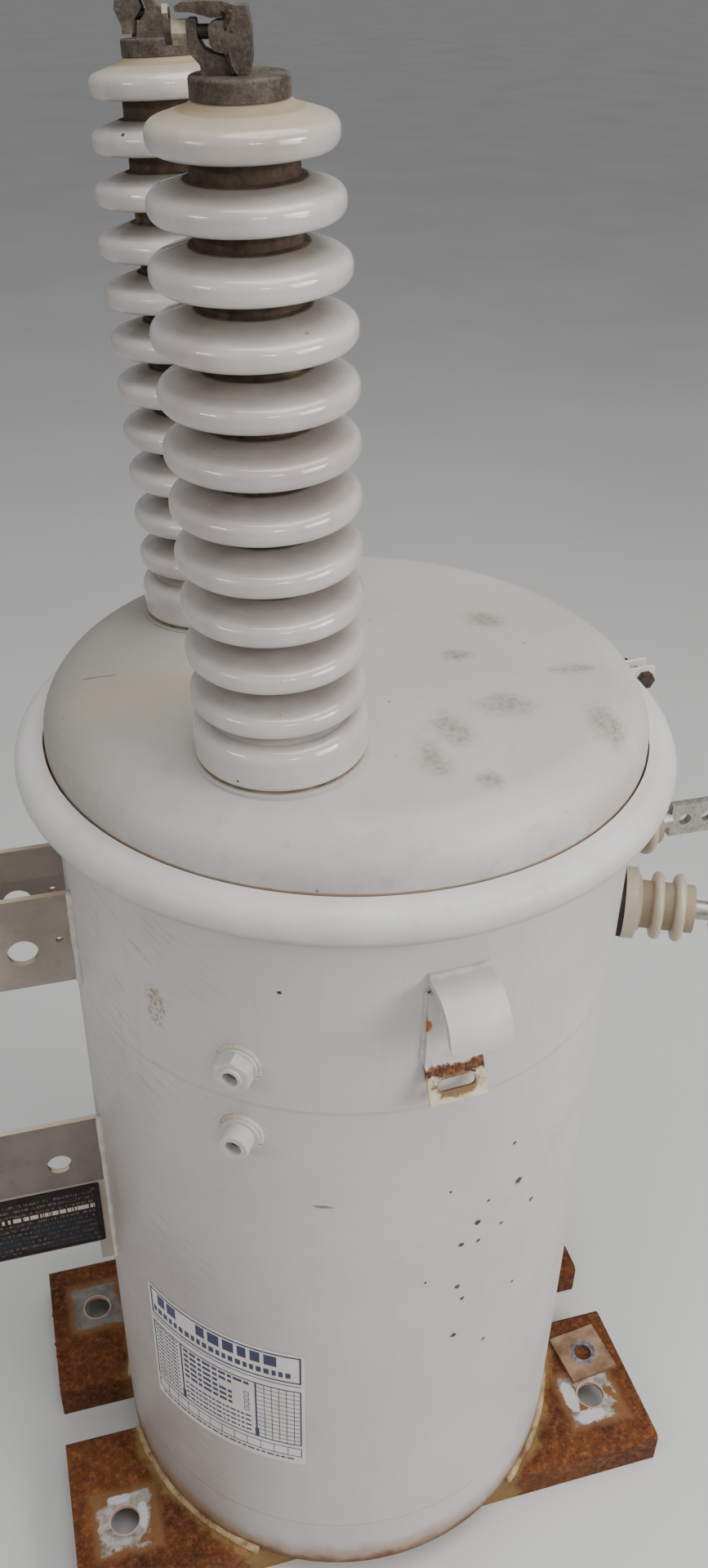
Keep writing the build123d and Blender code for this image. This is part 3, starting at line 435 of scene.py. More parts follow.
# Rust on the base rails
def rusty_steel():
    look = Look("rusty_steel", roughness=0.86)
    x, y, _ = look.split()
    grain = look.noise(150, 8, 0.75)
    base = look.ramp(
        look.noise(13, 6, 0.68),
        (0.28, hue(44, 21, 8)),
        (0.44, hue(82, 39, 14)),
        (0.56, hue(114, 60, 22)),
        (0.72, hue(142, 90, 44)),
    )
    fine = look.ramp(
        grain, (0.36, hue(30, 16, 8)), (0.52, hue(112, 62, 28)), (0.68, hue(176, 122, 74))
    )
    base = look.tint(base, fine, 0.5)
    red = look.noise(30, 6, 0.7)
    base = look.tint(base, hue(82, 32, 20), look.between(red, 0.56, 0.7, 0, 0.8))

    # Tan and yellow beside the tank's weld
    reach = look.shaken(look.radius(x, y), look.noise(24, 6, 0.7), -0.05)
    base = look.tint(base, hue(160, 132, 78), look.between(reach, 0.298, 0.284, 0, 0.6))

    # A square of grey paint left around each bolt hole, worn through to tan
    ragged = look.math("MULTIPLY_ADD", look.noise(75, 6, 0.7), 0.020, -0.010)
    off_x = look.math("SUBTRACT", look.math("ABSOLUTE", x), rail_hole_x)
    off_y = look.math("SUBTRACT", look.math("ABSOLUTE", y), rail_hole_y)
    aside = look.apart(look.math("ABSOLUTE", x), rail_hole_x - 0.002)
    across = look.apart(look.math("ABSOLUTE", y), rail_hole_y + 0.002)
    square = look.math("ADD", look.math("MAXIMUM", aside, across), ragged)
    base = look.tint(base, hue(138, 98, 62), look.between(square, 0.046, 0.036), 0.7)
    kept = look.between(look.noise(21, 4, 0.6), 0.44, 0.5)
    from_hole = look.math("ADD", look.radius(off_x, off_y), look.product(ragged, 0.3))
    collar = look.product(look.between(from_hole, 0.032, 0.029), look.between(x, 0.05, 0))
    pale = look.any_of([look.product(look.between(square, 0.036, 0.031), kept), collar])
    worn_grey = look.noise(60, 5, 0.6)
    kept_paint = look.ramp(worn_grey, (0.36, hue(112, 100, 90)), (0.6, hue(188, 180, 170)))
    kept_paint = look.tint(kept_paint, hue(104, 98, 92), look.between(y, 0, 0.02, 0, 0.7))
    base = look.tint(base, kept_paint, pale)
    for place, radius, squeeze in rail_patches:
        patch = look.near(place, radius, 0.25, look.noise(75, 6, 0.7), squeeze=squeeze)
        base = look.tint(base, hue(206, 206, 210), patch, 0.9)
    base = look.tint(base, hue(204, 168, 148), look.between(from_hole, 0.0198, 0.0188, 0, 0.85))
    look.bump(look.noise(60, 8, 0.75), 0.0018, 0.9)
    look.bump(grain, 0.0006, 0.8)
    look.rough(look.math("SUBTRACT", 0.92, look.product(pale, 0.35)))
    return look.colour(base)


# The loose washer, tan with a grey ring pressed round its hole
def washer_steel():
    look = Look("washer_steel", roughness=0.62, metallic=0.25)
    low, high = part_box("loose_washer")
    middle = (low + high) / 2
    base = look.ramp(
        look.noise(40, 6, 0.65),
        (0.34, hue(118, 88, 64)),
        (0.52, hue(152, 122, 94)),
        (0.7, hue(176, 148, 120)),
    )
    ring = look.near((middle.x, middle.y, high.z), 0.0195, 0.12)
    steel = look.ramp(look.noise(90, 4, 0.6), (0.4, hue(84, 84, 94)), (0.6, hue(150, 144, 148)))
    base = look.tint(base, steel, ring)
    stain = look.between(look.noise(22, 5, 0.7), 0.56, 0.7, 0, 0.6)
    base = look.tint(base, hue(124, 82, 54), stain)
    look.bump(look.noise(180, 6, 0.7), 0.0005, 0.6)
    return look.colour(base)


# Glazed porcelain, paler at the sheds' rims; dirt and painted shade darken it towards the core
# and in the grooves
def porcelain(name, axis, through, core, rim):
    look = Look(name, roughness=0.12)
    look.shader.inputs["Coat Roughness"].default_value = 0.04
    offset = look.vector("SUBTRACT", look.place, through)
    cross = look.vector("CROSS_PRODUCT", offset, axis)
    reach = look.vector("LENGTH", cross, output="Value")
    height = look.vector("DOT_PRODUCT", offset, axis, output="Value")
    cloud = look.noise(9, 5, 0.6)
    base = look.ramp(cloud, (0.35, hue(184, 174, 169)), (0.6, hue(206, 200, 196)))
    ragged_reach = look.shaken(reach, look.noise(36, 5, 0.65), 0.012)
    # Dust and painted shade on the sheds' cones, darker towards the core
    dust_and_shade = look.between(ragged_reach, core + 0.033, core + 0.006)
    base = look.tint(base, hue(142, 134, 124), dust_and_shade, 0.62)
    # A dark halo round the core: dirt and painted shade
    halo = look.between(ragged_reach, core + 0.016, core + 0.004)
    base = look.tint(base, hue(104, 92, 80), halo, 0.35)
    # Brown dirt in the grooves at the core, darkened further as painted shade
    depth = look.math("MULTIPLY_ADD", ragged_reach, 0.2, look.product(reach, 0.8))
    core_dirt_and_shade = look.between(depth, core + 0.0042, core + 0.0012)
    core_grain = look.noise(90, 6, 0.7)
    brown = look.ramp(core_grain, (0.35, hue(50, 36, 26)), (0.7, hue(92, 72, 54)))
    base = look.tint(base, brown, core_dirt_and_shade, 0.97)
    stained = look.between(look.noise(16, 5, 0.7), 0.56, 0.72)
    stained = look.product(stained, look.between(reach, rim, core))
    base = look.tint(base, hue(176, 150, 108), stained, 0.5)
    top = look.between(height, -0.022, -0.002)
    base = look.tint(base, hue(190, 172, 140), top, 0.55)
    rare = look.between(look.noise(19, 2, 0.5), 0.56, 0.62)
    dots = look.between(look.cells(34), 0.065, 0.045)
    base = look.tint(base, hue(66, 52, 40), dots, rare)
    look.bump(look.noise(16, 3, 0.5), 0.0016, 0.12)
    matt = look.any_of([core_dirt_and_shade, look.product(dust_and_shade, 0.55)])
    look.rough(look.between(matt, 0, 1, 0.10, 0.85))
    look.links.new(look.between(matt, 0, 1, 0.6, 0.0), look.shader.inputs["Coat Weight"])
    return look.colour(base)


# Rough cast metal of the terminals
def cast_metal():
    look = Look("cast_metal", roughness=0.82, metallic=0.35)
    cloud = look.noise(60, 7, 0.7)
    base = look.ramp(
        cloud, (0.3, hue(58, 48, 40)), (0.5, hue(90, 80, 71)), (0.7, hue(118, 108, 98))
    )
    lichen = look.between(look.noise(110, 5, 0.65), 0.58, 0.72, 0, 0.3)
    base = look.tint(base, hue(116, 118, 122), lichen)
    scored = look.noise(1.0, 4, 0.6, stretch=(24, 24, 900))
    base = look.tint(base, hue(134, 122, 108), look.between(scored, 0.56, 0.7, 0, 0.2))
    base = look.tint(base, hue(60, 50, 46), look.between(scored, 0.44, 0.3, 0, 0.2))
    grain = look.noise(460, 4, 0.7)
    base = look.tint(base, hue(132, 122, 106), look.between(grain, 0.53, 0.68, 0, 0.4))
    base = look.tint(base, hue(48, 38, 30), look.between(grain, 0.47, 0.34, 0, 0.5))
    look.bump(scored, 0.0004, 0.4)
    look.bump(look.noise(420, 7, 0.75), 0.0009, 0.9)
    look.bump(look.noise(120, 5, 0.7), 0.0012, 0.6)
    return look.colour(base)


# Weathered nuts, bolts, wire and tinned copper
def plain_metal(name, light, dark, roughness, metallic, scale=160):
    look = Look(name, roughness=roughness, metallic=metallic)
    cloud = look.noise(scale, 6, 0.65)
    base = look.ramp(cloud, (0.34, dark), (0.66, light))
    spot = look.between(look.noise(scale * 2.4, 5, 0.7), 0.6, 0.74, 0, 0.5)
    base = look.tint(base, hue(92, 70, 50), spot)
    look.bump(look.noise(scale * 5, 5, 0.7), 0.0003, 0.6)
    look.rough(look.between(cloud, 0.3, 0.7, roughness - 0.08, roughness + 0.12))
    return look.colour(base)


# Dark etched nameplate with pale ruled rows, without any lettering
row_pitch = 0.0078
block_depth = 0.0345


def plate_face():
    look = Look("plate_face", roughness=0.6)
    look.shader.inputs["Specular IOR Level"].default_value = 0.2
    low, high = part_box("nameplate")
    x, _, z = look.split()
    base = look.ramp(look.noise(60, 6, 0.65), (0.35, hue(22, 16, 15)), (0.7, hue(40, 31, 29)))
    depth = look.math("SUBTRACT", high.z, z)
    inset_x = look.between(look.apart(x, (low.x + high.x) / 2), 0.0600, 0.0590)
    inset_z = look.between(look.apart(z, (low.z + high.z) / 2), 0.0420, 0.0410)
    inset = look.product(inset_x, inset_z)

    # Rows of short broken marks
    row = look.apart(look.math("FRACT", look.product(depth, 1 / row_pitch)), 0.5)
    marks = look.between(look.noise(1.0, 3, 0.6, stretch=(620, 1, 128)), 0.50, 0.54)
    marks = look.product(marks, look.between(row, 0.30, 0.24), inset)
    base = look.tint(base, hue(142, 124, 116), marks, 0.42)

    # One bolder row of pale blocks, and darker fields below it
    from_blocks = look.apart(depth, block_depth)
    plain = look.between(from_blocks, 0.0052, 0.0048)
    base = look.tint(base, hue(36, 30, 29), plain, inset)
    block_row = look.between(from_blocks, 0.0034, 0.0030)
    blocks = look.between(look.noise(1.0, 2, 0.5, stretch=(330, 1, 1)), 0.43, 0.46)
    base = look.tint(base, hue(196, 178, 166), look.product(block_row, blocks), inset)
    fields = look.between(look.noise(26, 1, 0.4), 0.5, 0.53)
    fields = look.product(fields, look.between(depth, 0.045, 0.047), inset)
    base = look.tint(base, hue(40, 44, 50), fields, 0.6)
    scuff = look.between(look.noise(140, 6, 0.7), 0.6, 0.72, 0, 0.22)
    return look.colour(look.tint(base, hue(96, 88, 86), scuff))


# Soft and hidden materials
def dull(name, light, dark, roughness):
    look = Look(name, roughness=roughness)
    base = look.ramp(look.noise(90, 6, 0.65), (0.34, dark), (0.66, light))
    look.bump(look.noise(540, 4, 0.6), 0.0004, 0.6)
    return look.colour(base)


# Weld metal under paint
def weld_paint(name, light, dark, stain, amount):
    look = Look(name, roughness=0.55)
    base = look.ramp(look.noise(50, 6, 0.65), (0.35, dark), (0.65, light))
    patch = look.between(look.noise(22, 5, 0.7), 0.5, 0.66, 0, amount)
    base = look.tint(base, stain, patch)
    look.bump(look.noise(500, 5, 0.7), 0.0006, 0.7)
    return look.colour(base)


# The sticker's white film
def sticker_film():
    look = Look("sticker_film", roughness=0.34)
    cloud = look.noise(24, 5, 0.6)
    base = look.ramp(cloud, (0.35, hue(214, 206, 198)), (0.65, hue(228, 224, 218)))
    dirt = look.between(look.noise(70, 6, 0.7), 0.6, 0.74, 0, 0.35)
    return look.colour(look.tint(base, hue(198, 190, 174), dirt))


# The sticker's blue ink, worn in places
def sticker_ink():
    look = Look("sticker_ink", roughness=0.4)
    wear = look.between(look.noise(240, 5, 0.7), 0.6, 0.74, 0, 0.4)
    return look.colour(look.tint(hue(26, 30, 84), hue(132, 134, 160), wear))


# Axes of the tall bushings, which lean outwards
def bushing_axis(side):
    turn = side * bushing_azimuth
    lean = math.sin(bushing_lean)
    return Vector((lean * math.cos(turn), lean * math.sin(turn), math.cos(bushing_lean)))


def top_centre(node, axis):
    """The middle of a node's highest ring along an axis."""
    points = [vertex.co.copy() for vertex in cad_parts[node].data.vertices]
    reach = max(point.dot(axis) for point in points)
    ring = [point for point in points if point.dot(axis) > reach - 0.0004]
    return sum(ring, Vector()) / len(ring)


front_axis = bushing_axis(-1)
back_axis = bushing_axis(1)
front_top = top_centre("hv_bushing_front", front_axis)
back_top = top_centre("hv_bushing_back", back_axis)
paints = {
    "tank": tank_paint(),
    "cover": cover_paint(),
    "band": small_part_paint(
        "band_paint", hue(214, 212, 210), hue(203, 200, 198), hue(178, 168, 158),
        inner_rust=band_inner_edge, painted_underside_shade=hue(112, 100, 93),
    ),
    "fitting": small_part_paint(
        "fitting_paint", hue(214, 211, 208), hue(198, 193, 189), hue(178, 166, 150)
    ),
    # The hangers' paint is darkened as painted shade, the lower hanger more than the upper
    "hanger": small_part_paint(
        "hanger_paint", hue(162, 149, 139), hue(135, 122, 111), hue(112, 98, 85), 0.5,
        painted_edge_highlight=hue(196, 176, 150),
    ),
    "low_hanger": small_part_paint(
        "low_hanger_paint_in_shade", hue(124, 114, 107), hue(98, 89, 83), hue(84, 72, 62), 0.5,
        painted_edge_highlight=hue(214, 196, 172),
    ),
    "carrier": small_part_paint(
        "carrier_paint", hue(176, 164, 150), hue(150, 138, 126), hue(128, 112, 92), 0.5
    ),
    "tab_front": tab_paint("tab_paint_front", -1),
    "tab_back": tab_paint("tab_paint_back", 1),
    "rust": rusty_steel(),
    "washer": washer_steel(),
    "porcelain_front": porcelain(
        "porcelain_front", front_axis, front_top, bushing_core, bushing_rim
    ),
    "porcelain_back": porcelain(
        "porcelain_back", back_axis, back_top, bushing_core, bushing_rim
    ),
    "cast": cast_metal(),
    "nut": plain_metal("nut_metal", hue(184, 172, 152), hue(136, 124, 106), 0.55, 0.45),
    "bolt": plain_metal("bolt_steel", hue(92, 80, 70), hue(48, 40, 34), 0.62, 0.6),
    "wire": plain_metal("wire_strand", hue(104, 90, 76), hue(40, 33, 27), 0.65, 0.5, scale=300),
    "tinned": plain_metal("tinned_metal", hue(190, 188, 180), hue(150, 146, 136), 0.42, 0.8),
    "rubber": dull("gasket_rubber", hue(56, 46, 42), hue(30, 24, 22), 0.85),
    "cork": dull("gasket_cork", hue(150, 136, 104), hue(112, 98, 70), 0.8),
    "core": dull("core_steel", hue(96, 98, 104), hue(60, 62, 66), 0.6),
    "wrap": dull("coil_wrap", hue(206, 184, 142), hue(160, 134, 92), 0.8),
    "plate": plate_face(),
    "film": sticker_film(),
    "ink": sticker_ink(),
    "weld": weld_paint(
        "weld_paint", hue(214, 210, 204), hue(192, 184, 174), hue(196, 170, 116), 0.5
    ),
    "foot_weld": weld_paint(
        "foot_weld", hue(200, 180, 140), hue(158, 126, 84), hue(112, 62, 32), 0.8
    ),
}
for side, azimuth in lv_azimuths.items():
    turn = math.radians(azimuth)
    outward = Vector((math.cos(turn), math.sin(turn), 0))
    through = Vector((0, 0, lv_height))
    paints[f"lv_{side}"] = porcelain(f"porcelain_lv_{side}", outward, through, lv_core, lv_rim)

node_paints = {
    "tank_shell": "tank",
    "tank_floor": "tank",
    "cover": "cover",
    "clamp_band": "band",
    "base_rail_front": "rust",
    "base_rail_back": "rust",
    "loose_washer": "washer",
    "hanger_upper": "hanger",
    "hanger_lower": "low_hanger",
    "nameplate_carrier": "carrier",
    "nameplate": "plate",
    "cover_gasket": "rubber",
    "band_bolt": "bolt",
    "ground_boss": "washer",
    "core_stack": "core",
    "coil_pack": "wrap",
}
for side in ("front", "back"):
    node_paints[f"hv_bushing_{side}"] = f"porcelain_{side}"
    node_paints[f"hv_gasket_{side}"] = "cork"
    node_paints[f"hv_cap_{side}"] = "cast"
    node_paints[f"hv_jaw_{side}"] = "cast"
    node_paints[f"hv_bolt_{side}"] = "bolt"
    node_paints[f"hv_nut_{side}"] = "nut"
    node_paints[f"hook_{side}"] = "fitting"
    node_paints[f"tab_{side}"] = f"tab_{side}"
for side in lv_azimuths:
    node_paints[f"lv_bushing_{side}"] = f"lv_{side}"
    node_paints[f"lv_gasket_{side}"] = "rubber"
    node_paints[f"lv_spade_{side}"] = "tinned"
for level in ("upper", "lower"):
    node_paints[f"fitting_{level}"] = "fitting"
    node_paints[f"plug_{level}"] = "washer"

for name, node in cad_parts.items():
    node.data.materials.clear()
    node.data.materials.append(paints[node_paints[name]])


# Pieces of mesh
def add_piece(name, vertices, faces, paint, slot, smooth=True):
    mesh = bpy.data.meshes.new(name)
    mesh.from_pydata([tuple(vertex) for vertex in vertices], [], faces)
    mesh.validate()
    for polygon in mesh.polygons:
        polygon.use_smooth = smooth
    piece = bpy.data.objects.new(name, mesh)
    bpy.context.scene.collection.objects.link(piece)
    mesh.materials.append(paints[paint])
    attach(piece, "root")


def joined(parts):
    vertices, faces = [], []
    for part_vertices, part_faces in parts:
        start = len(vertices)
        vertices += part_vertices
        faces += [tuple(start + index for index in face) for face in part_faces]
    return vertices, faces


def side_faces(first, sides):
    """The faces between two neighbouring rings, where the first starts at vertex first."""
    faces = []
    for side in range(sides):
        after = (side + 1) % sides
        faces.append((first + side, first + after, first + sides + after, first + sides + side))
    return faces


def tube(path, radius_at, sides=10):
    """A closed tube along a path; radius_at takes the distance from the start."""
    vertices, faces = [], []
    travelled = 0.0
    last = len(path) - 1
    for index, point in enumerate(path):
        way = (path[min(index + 1, last)] - path[max(index - 1, 0)]).normalized()
        steep = abs(way.z) > 0.9
        aside = (way.orthogonal() if steep else way.cross(Vector((0, 0, 1)))).normalized()
        above = way.cross(aside)
        if index:
            travelled += (point - path[index - 1]).length
        radius = radius_at(travelled)
        for side in range(sides):
            turn = 2 * math.pi * side / sides
            vertices.append(point + (aside * math.cos(turn) + above * math.sin(turn)) * radius)
    for index in range(last):
        faces += side_faces(index * sides, sides)
    faces.append(tuple(range(sides - 1, -1, -1)))
    faces.append(tuple(last * sides + side for side in range(sides)))
    return vertices, faces


# Weld beads, rippled as a run of overlapping puddles
bead_radius = {"foot": 0.0052, "cheek": 0.0046, "hook": 0.0042, "carrier": 0.004, "fine": 0.0030}
bead_step = 0.0011
ripple_pitch = 0.0042
drift_rate = 38


def bead(path, radius, seed):
    def radius_at(travelled):
        ripple = abs(math.sin(math.pi * travelled / ripple_pitch))
        drift = noise.noise(Vector((travelled * drift_rate, seed, 0.5)))
        return radius * (0.86 + 0.12 * ripple + 0.22 * drift)

    return tube(path, radius_at)


def straight(start, end):
    count = max(2, int((end - start).length / bead_step))
    return [start.lerp(end, index / count) for index in range(count + 1)]


def arc_path(radius, height, first, last):
    count = max(2, int(abs(last - first) * radius / bead_step))
    turns = [first + (last - first) * index / count for index in range(count + 1)]
    return [Vector((radius * math.cos(turn), radius * math.sin(turn), height)) for turn in turns]


# Fillet weld where the tank stands on each rail
inner_turn = math.asin(rail_inner / tank_radius)
outer_turn = math.asin(rail_outer / tank_radius)
foot_beads = []
for side in (-1, 1):
    for flank in (0, 1):
        first, last = side * inner_turn, side * outer_turn
        if flank:
            first, last = side * math.pi - first, side * math.pi - last
        path = arc_path(tank_radius + 0.0015, rail_top + 0.0015, first, last)
        foot_beads.append(bead(path, bead_radius["foot"], 3 * side + flank))
add_piece("foot_welds", *joined(foot_beads), "foot_weld", "tank_paint")


# Vertical welds of the hangers' cheeks and the nameplate carrier
weld_lift = 0.001


def wall_x(y):
    """Just outside the wall on the hangers' side, at a distance y from its middle."""
    return -math.sqrt(tank_radius**2 - y**2) - weld_lift


hanger_cheeks = {"hanger_upper": (-1, 1), "hanger_lower": (-1,)}
hanger_beads = []
for level, cheeks in hanger_cheeks.items():
    low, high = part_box(level)
    for side in cheeks:
        x = wall_x(low.y)
        y = side * (0.0012 - low.y)
        path = straight(Vector((x, y, low.z - 0.002)), Vector((x, y, high.z + 0.002)))
        hanger_beads.append(bead(path, bead_radius["cheek"], side + high.z))
low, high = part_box("nameplate_carrier")
x = wall_x(low.y)
path = straight(Vector((x, low.y, low.z)), Vector((x, low.y, high.z)))
hanger_beads.append(bead(path, bead_radius["carrier"], 9))
add_piece("hanger_welds", *joined(hanger_beads), "weld", "tank_paint")

# Welds over the hooks' roots and down the edges of the back plates
hook_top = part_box("hook_front")[1].z
tab_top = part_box("tab_front")[1].z
half = math.asin(hook_half_width / tank_radius)
hook_beads = []
for side in (-1, 1):
    middle = -side * hook_azimuth
    path = arc_path(tank_radius + weld_lift, hook_top + 0.0006, middle - half, middle + half)
    hook_beads.append(bead(path, bead_radius["hook"], side))
    for edge in (-1, 1):
        turn = middle + edge * half
        foot = Vector((tank_radius * math.cos(turn), tank_radius * math.sin(turn), tab_plate_low))
        path = straight(foot, Vector((foot.x, foot.y, tab_top)))
        hook_beads.append(bead(path, bead_radius["fine"], side + edge * 5))
add_piece("hook_welds", *joined(hook_beads), "weld", "tank_paint")

# Weld rings round the two plugged fittings
ring_radius = 0.0190
ring_steps = 96
fitting_out = Vector((math.cos(fitting_azimuth), math.sin(fitting_azimuth), 0))
fitting_side = Vector((-fitting_out.y, fitting_out.x, 0))
fitting_beads = []
for height in fitting_heights:
    path = []
    for index in range(ring_steps + 1):
        turn = 2 * math.pi * index / ring_steps
        aside, up = ring_radius * math.cos(turn), ring_radius * math.sin(turn)
        reach = math.sqrt(tank_radius**2 - aside**2)
        path.append(fitting_out * reach + fitting_side * aside + Vector((0, 0, height + up)))
    fitting_beads.append(bead(path, bead_radius["fine"], height * 7))
add_piece("fitting_welds", *joined(fitting_beads), "weld", "tank_paint")

# The sticker: white film with a ruled form in blue, left without lettering
film_thickness = 0.0002
film_lift = 0.0003
print_lift = 0.0006
sticker_from = math.radians(-153.4)
sticker_to = math.radians(-112.7)
sticker_low = 0.261
sticker_high = 0.464
sticker_width = (sticker_to - sticker_from) * tank_radius


def wall_patch(turn_from, turn_to, low, high, lift, steps):
    """A thin sheet that follows the wall, closed at its edges."""
    vertices, faces = [], []
    for index in range(steps + 1):
        turn = turn_from + (turn_to - turn_from) * index / steps
        for height in (low, high):
            for reach in (tank_radius + lift, tank_radius + lift + film_thickness):
                vertices.append(Vector((reach * math.cos(turn), reach * math.sin(turn), height)))
    for index in range(steps):
        here, after = 4 * index, 4 * (index + 1)
        faces.append((here + 1, after + 1, after + 3, here + 3))
        faces.append((here, here + 2, after + 2, after))
        faces.append((here, after, after + 1, here + 1))
        faces.append((here + 2, here + 3, after + 3, after + 2))
    faces.append((0, 1, 3, 2))
    end = 4 * steps
    faces.append((end, end + 2, end + 3, end + 1))
    return vertices, faces


def printed(left, right, top, bottom, steps=12):
    """A printed patch by its distances in metres from the sticker's left and top edges."""
    turn_from = sticker_from + left / tank_radius
    turn_to = sticker_from + right / tank_radius
    low, high = sticker_high - bottom, sticker_high - top
    return wall_patch(turn_from, turn_to, low, high, print_lift, steps)


def frame_lines(left, right, top, bottom, width):
    return [
        printed(left, right, top, top + width),
        printed(left, right, bottom - width, bottom),
        printed(left, left + width, top, bottom, 1),
        printed(right - width, right, top, bottom, 1),
    ]


def bar_row(left, right, top, height, lengths, gap):
    """A row of plain bars from left to right, of the given lengths in turn."""
    bars = []
    turn = 0
    while left + lengths[turn % len(lengths)] < right:
        length = lengths[turn % len(lengths)]
        bars.append(printed(left, left + length, top, top + height, 1))
        left += length + gap
        turn += 1
    return bars


def ruled_form():
    margin = 0.004
    right = sticker_width - margin
    lines = frame_lines(margin, right, margin, 0.050, 0.0019)
    lines.append(printed(margin, right, 0.0545, 0.0555))

    # Head: a bold row of bars and a smaller one below it
    lines += bar_row(0.016, 0.052, 0.009, 0.017, (0.011, 0.013), 0.004)
    lines += bar_row(0.073, 0.172, 0.009, 0.017, (0.011, 0.014, 0.013, 0.010), 0.0045)
    small = (0.0045, 0.0055, 0.006, 0.0045)
    lines += bar_row(0.008, right - 0.006, 0.0335, 0.0085, small, 0.0030)

    # Three columns of ruled rows, the last with a grid
    top, bottom = 0.064, 0.166
    lines += frame_lines(margin, right, top, bottom, 0.0015)
    for left in (0.047, 0.143):
        lines.append(printed(left, left + 0.0019, top, bottom, 1))
        lines.append(printed(left - 0.001, left + 0.0035, 0.150, bottom, 1))
    short = (0.003, 0.006, 0.002, 0.004)
    for row in range(14):
        lines += bar_row(0.008, 0.043, 0.068 + row * 0.0068, 0.0020, short, 0.0014)
    grid_left, grid_rows, grid_columns = 0.145, 13, 6
    for row in range(1, grid_rows):
        height = row * 0.0078
        lines.append(printed(grid_left, right, top + height, 0.0644 + height))
    for column in range(1, grid_columns):
        left = grid_left + column * (right - grid_left) / grid_columns
        lines.append(printed(left, left + 0.0006, top, bottom, 1))
    words = (0.0062, 0.0088, 0.0048, 0.0105)
    for row, end in enumerate((0.139, 0.124, 0.104, 0.128, 0.118, 0.124)):
        lines += bar_row(0.052, end, 0.069 + row * 0.0094, 0.0042, words, 0.0022)
    notes = (0.004, 0.0065, 0.003)
    for row in range(4):
        lines += bar_row(0.052, 0.139, 0.130 + row * 0.0088, 0.0024, notes, 0.0016)
    for box in range(4):
        down = box * 0.0094
        lines += frame_lines(0.1300, 0.1360, 0.0874 + down, 0.0934 + down, 0.0006)

    # Foot: a ruled strip and a last row of marks
    top, bottom, cells = 0.172, 0.188, 12
    lines += frame_lines(margin, right, top, bottom, 0.0009)
    for cell in range(1, cells):
        left = margin + cell * (right - margin) / cells
        lines.append(printed(left, left + 0.0005, top, bottom, 1))
    lines += bar_row(0.010, right - 0.004, 0.1925, 0.0022, (0.005, 0.008, 0.004), 0.002)
    return joined(lines)


film = wall_patch(sticker_from, sticker_to, sticker_low, sticker_high, film_lift, 40)
add_piece("sticker", *film, "film", None, smooth=False)
add_piece("sticker_print", *ruled_form(), "ink", None, smooth=False)


# Rivets of the nameplate
def dome_rivet(centre, outward, radius, rise, rings=5, sides=14):
    aside = outward.orthogonal().normalized()
    above = outward.cross(aside)
    vertices, faces = [], []
    for ring in range(rings):
        share = ring / rings
        spread = radius * math.cos(share * math.pi / 2)
        height = rise * math.sin(share * math.pi / 2)
        for side in range(sides):
            turn = 2 * math.pi * side / sides
            offset = (aside * math.cos(turn) + above * math.sin(turn)) * spread
            vertices.append(centre + offset + outward * height)
    vertices.append(centre + outward * rise)
    for ring in range(rings - 1):
        faces += side_faces(ring * sides, sides)
    tip = len(vertices) - 1
    crown = (rings - 1) * sides
    for side in range(sides):
        faces.append((crown + side, crown + (side + 1) % sides, tip))
    faces.append(tuple(range(sides - 1, -1, -1)))
    return vertices, faces


low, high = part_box("nameplate")
rivet_inset = 0.007
rivet_radius = 0.0028
rivet_rise = 0.0012
rivets = []
for x in (low.x + rivet_inset, high.x - rivet_inset):
    for z in (low.z + rivet_inset, high.z - rivet_inset):
        centre = Vector((x, low.y, z))
        rivets.append(dome_rivet(centre, Vector((0, -1, 0)), rivet_radius, rivet_rise))
add_piece("nameplate_rivets", *joined(rivets), "bolt", "bolt_steel")

# Frayed strands left in the clamps; a run's start and end are (across the photo's view,
# up from the cap's disc, towards the viewer), then come its count, seed and spread
strand_radius = 0.0011
strand_bow = 0.0012
strand_steps = 12
strand_runs = (
    (front_top, front_axis, (-0.004, 0.022, 0.0075), (-0.002, 0.0335, 0.009), 8, 4, 0.0032),
    (front_top, front_axis, (-0.004, 0.012, 0.009), (0.001, 0.0010, 0.0110), 8, 9, 0.0030),
    (back_top, back_axis, (-0.0135, 0.022, 0.003), (-0.019, 0.0360, 0.004), 7, 14, 0.0028),
    (back_top, back_axis, (-0.0165, 0.013, 0.004), (-0.0182, 0.0010, 0.005), 4, 21, 0.0014),
)


def strand_bundle(top, axis, start, end, count, seed, spread):
    """Short wires from start to end, over the top of a bushing with the given axis."""
    rng = random.Random(seed)
    across = Vector((math.cos(view_azimuth), math.sin(view_azimuth), 0))
    across = (across - axis * across.dot(axis)).normalized()
    toward = across.cross(axis)

    def placed(point):
        return top + across * point[0] + axis * (cap_height + point[1]) + toward * point[2]

    parts = []
    for wire in range(count):
        shift = across * rng.uniform(-spread, spread) + toward * rng.uniform(-spread, spread)
        splay = across * rng.uniform(-spread, spread) * 1.3
        splay += toward * rng.uniform(-spread, spread)
        foot = placed(start) + shift
        tip = placed(end) + shift + splay
        path = []
        for index in range(strand_steps + 1):
            share = index / strand_steps
            bow = math.sin(share * math.pi) * strand_bow
            bend = across * bow * math.sin(wire) + toward * bow * math.cos(wire)
            path.append(foot.lerp(tip, share) + bend)
        parts.append(tube(path, lambda travelled: strand_radius, sides=7))
    return parts


strands = []
for run in strand_runs:
    strands += strand_bundle(*run)
add_piece("clamp_strands", *joined(strands), "wire", "cast_metal")

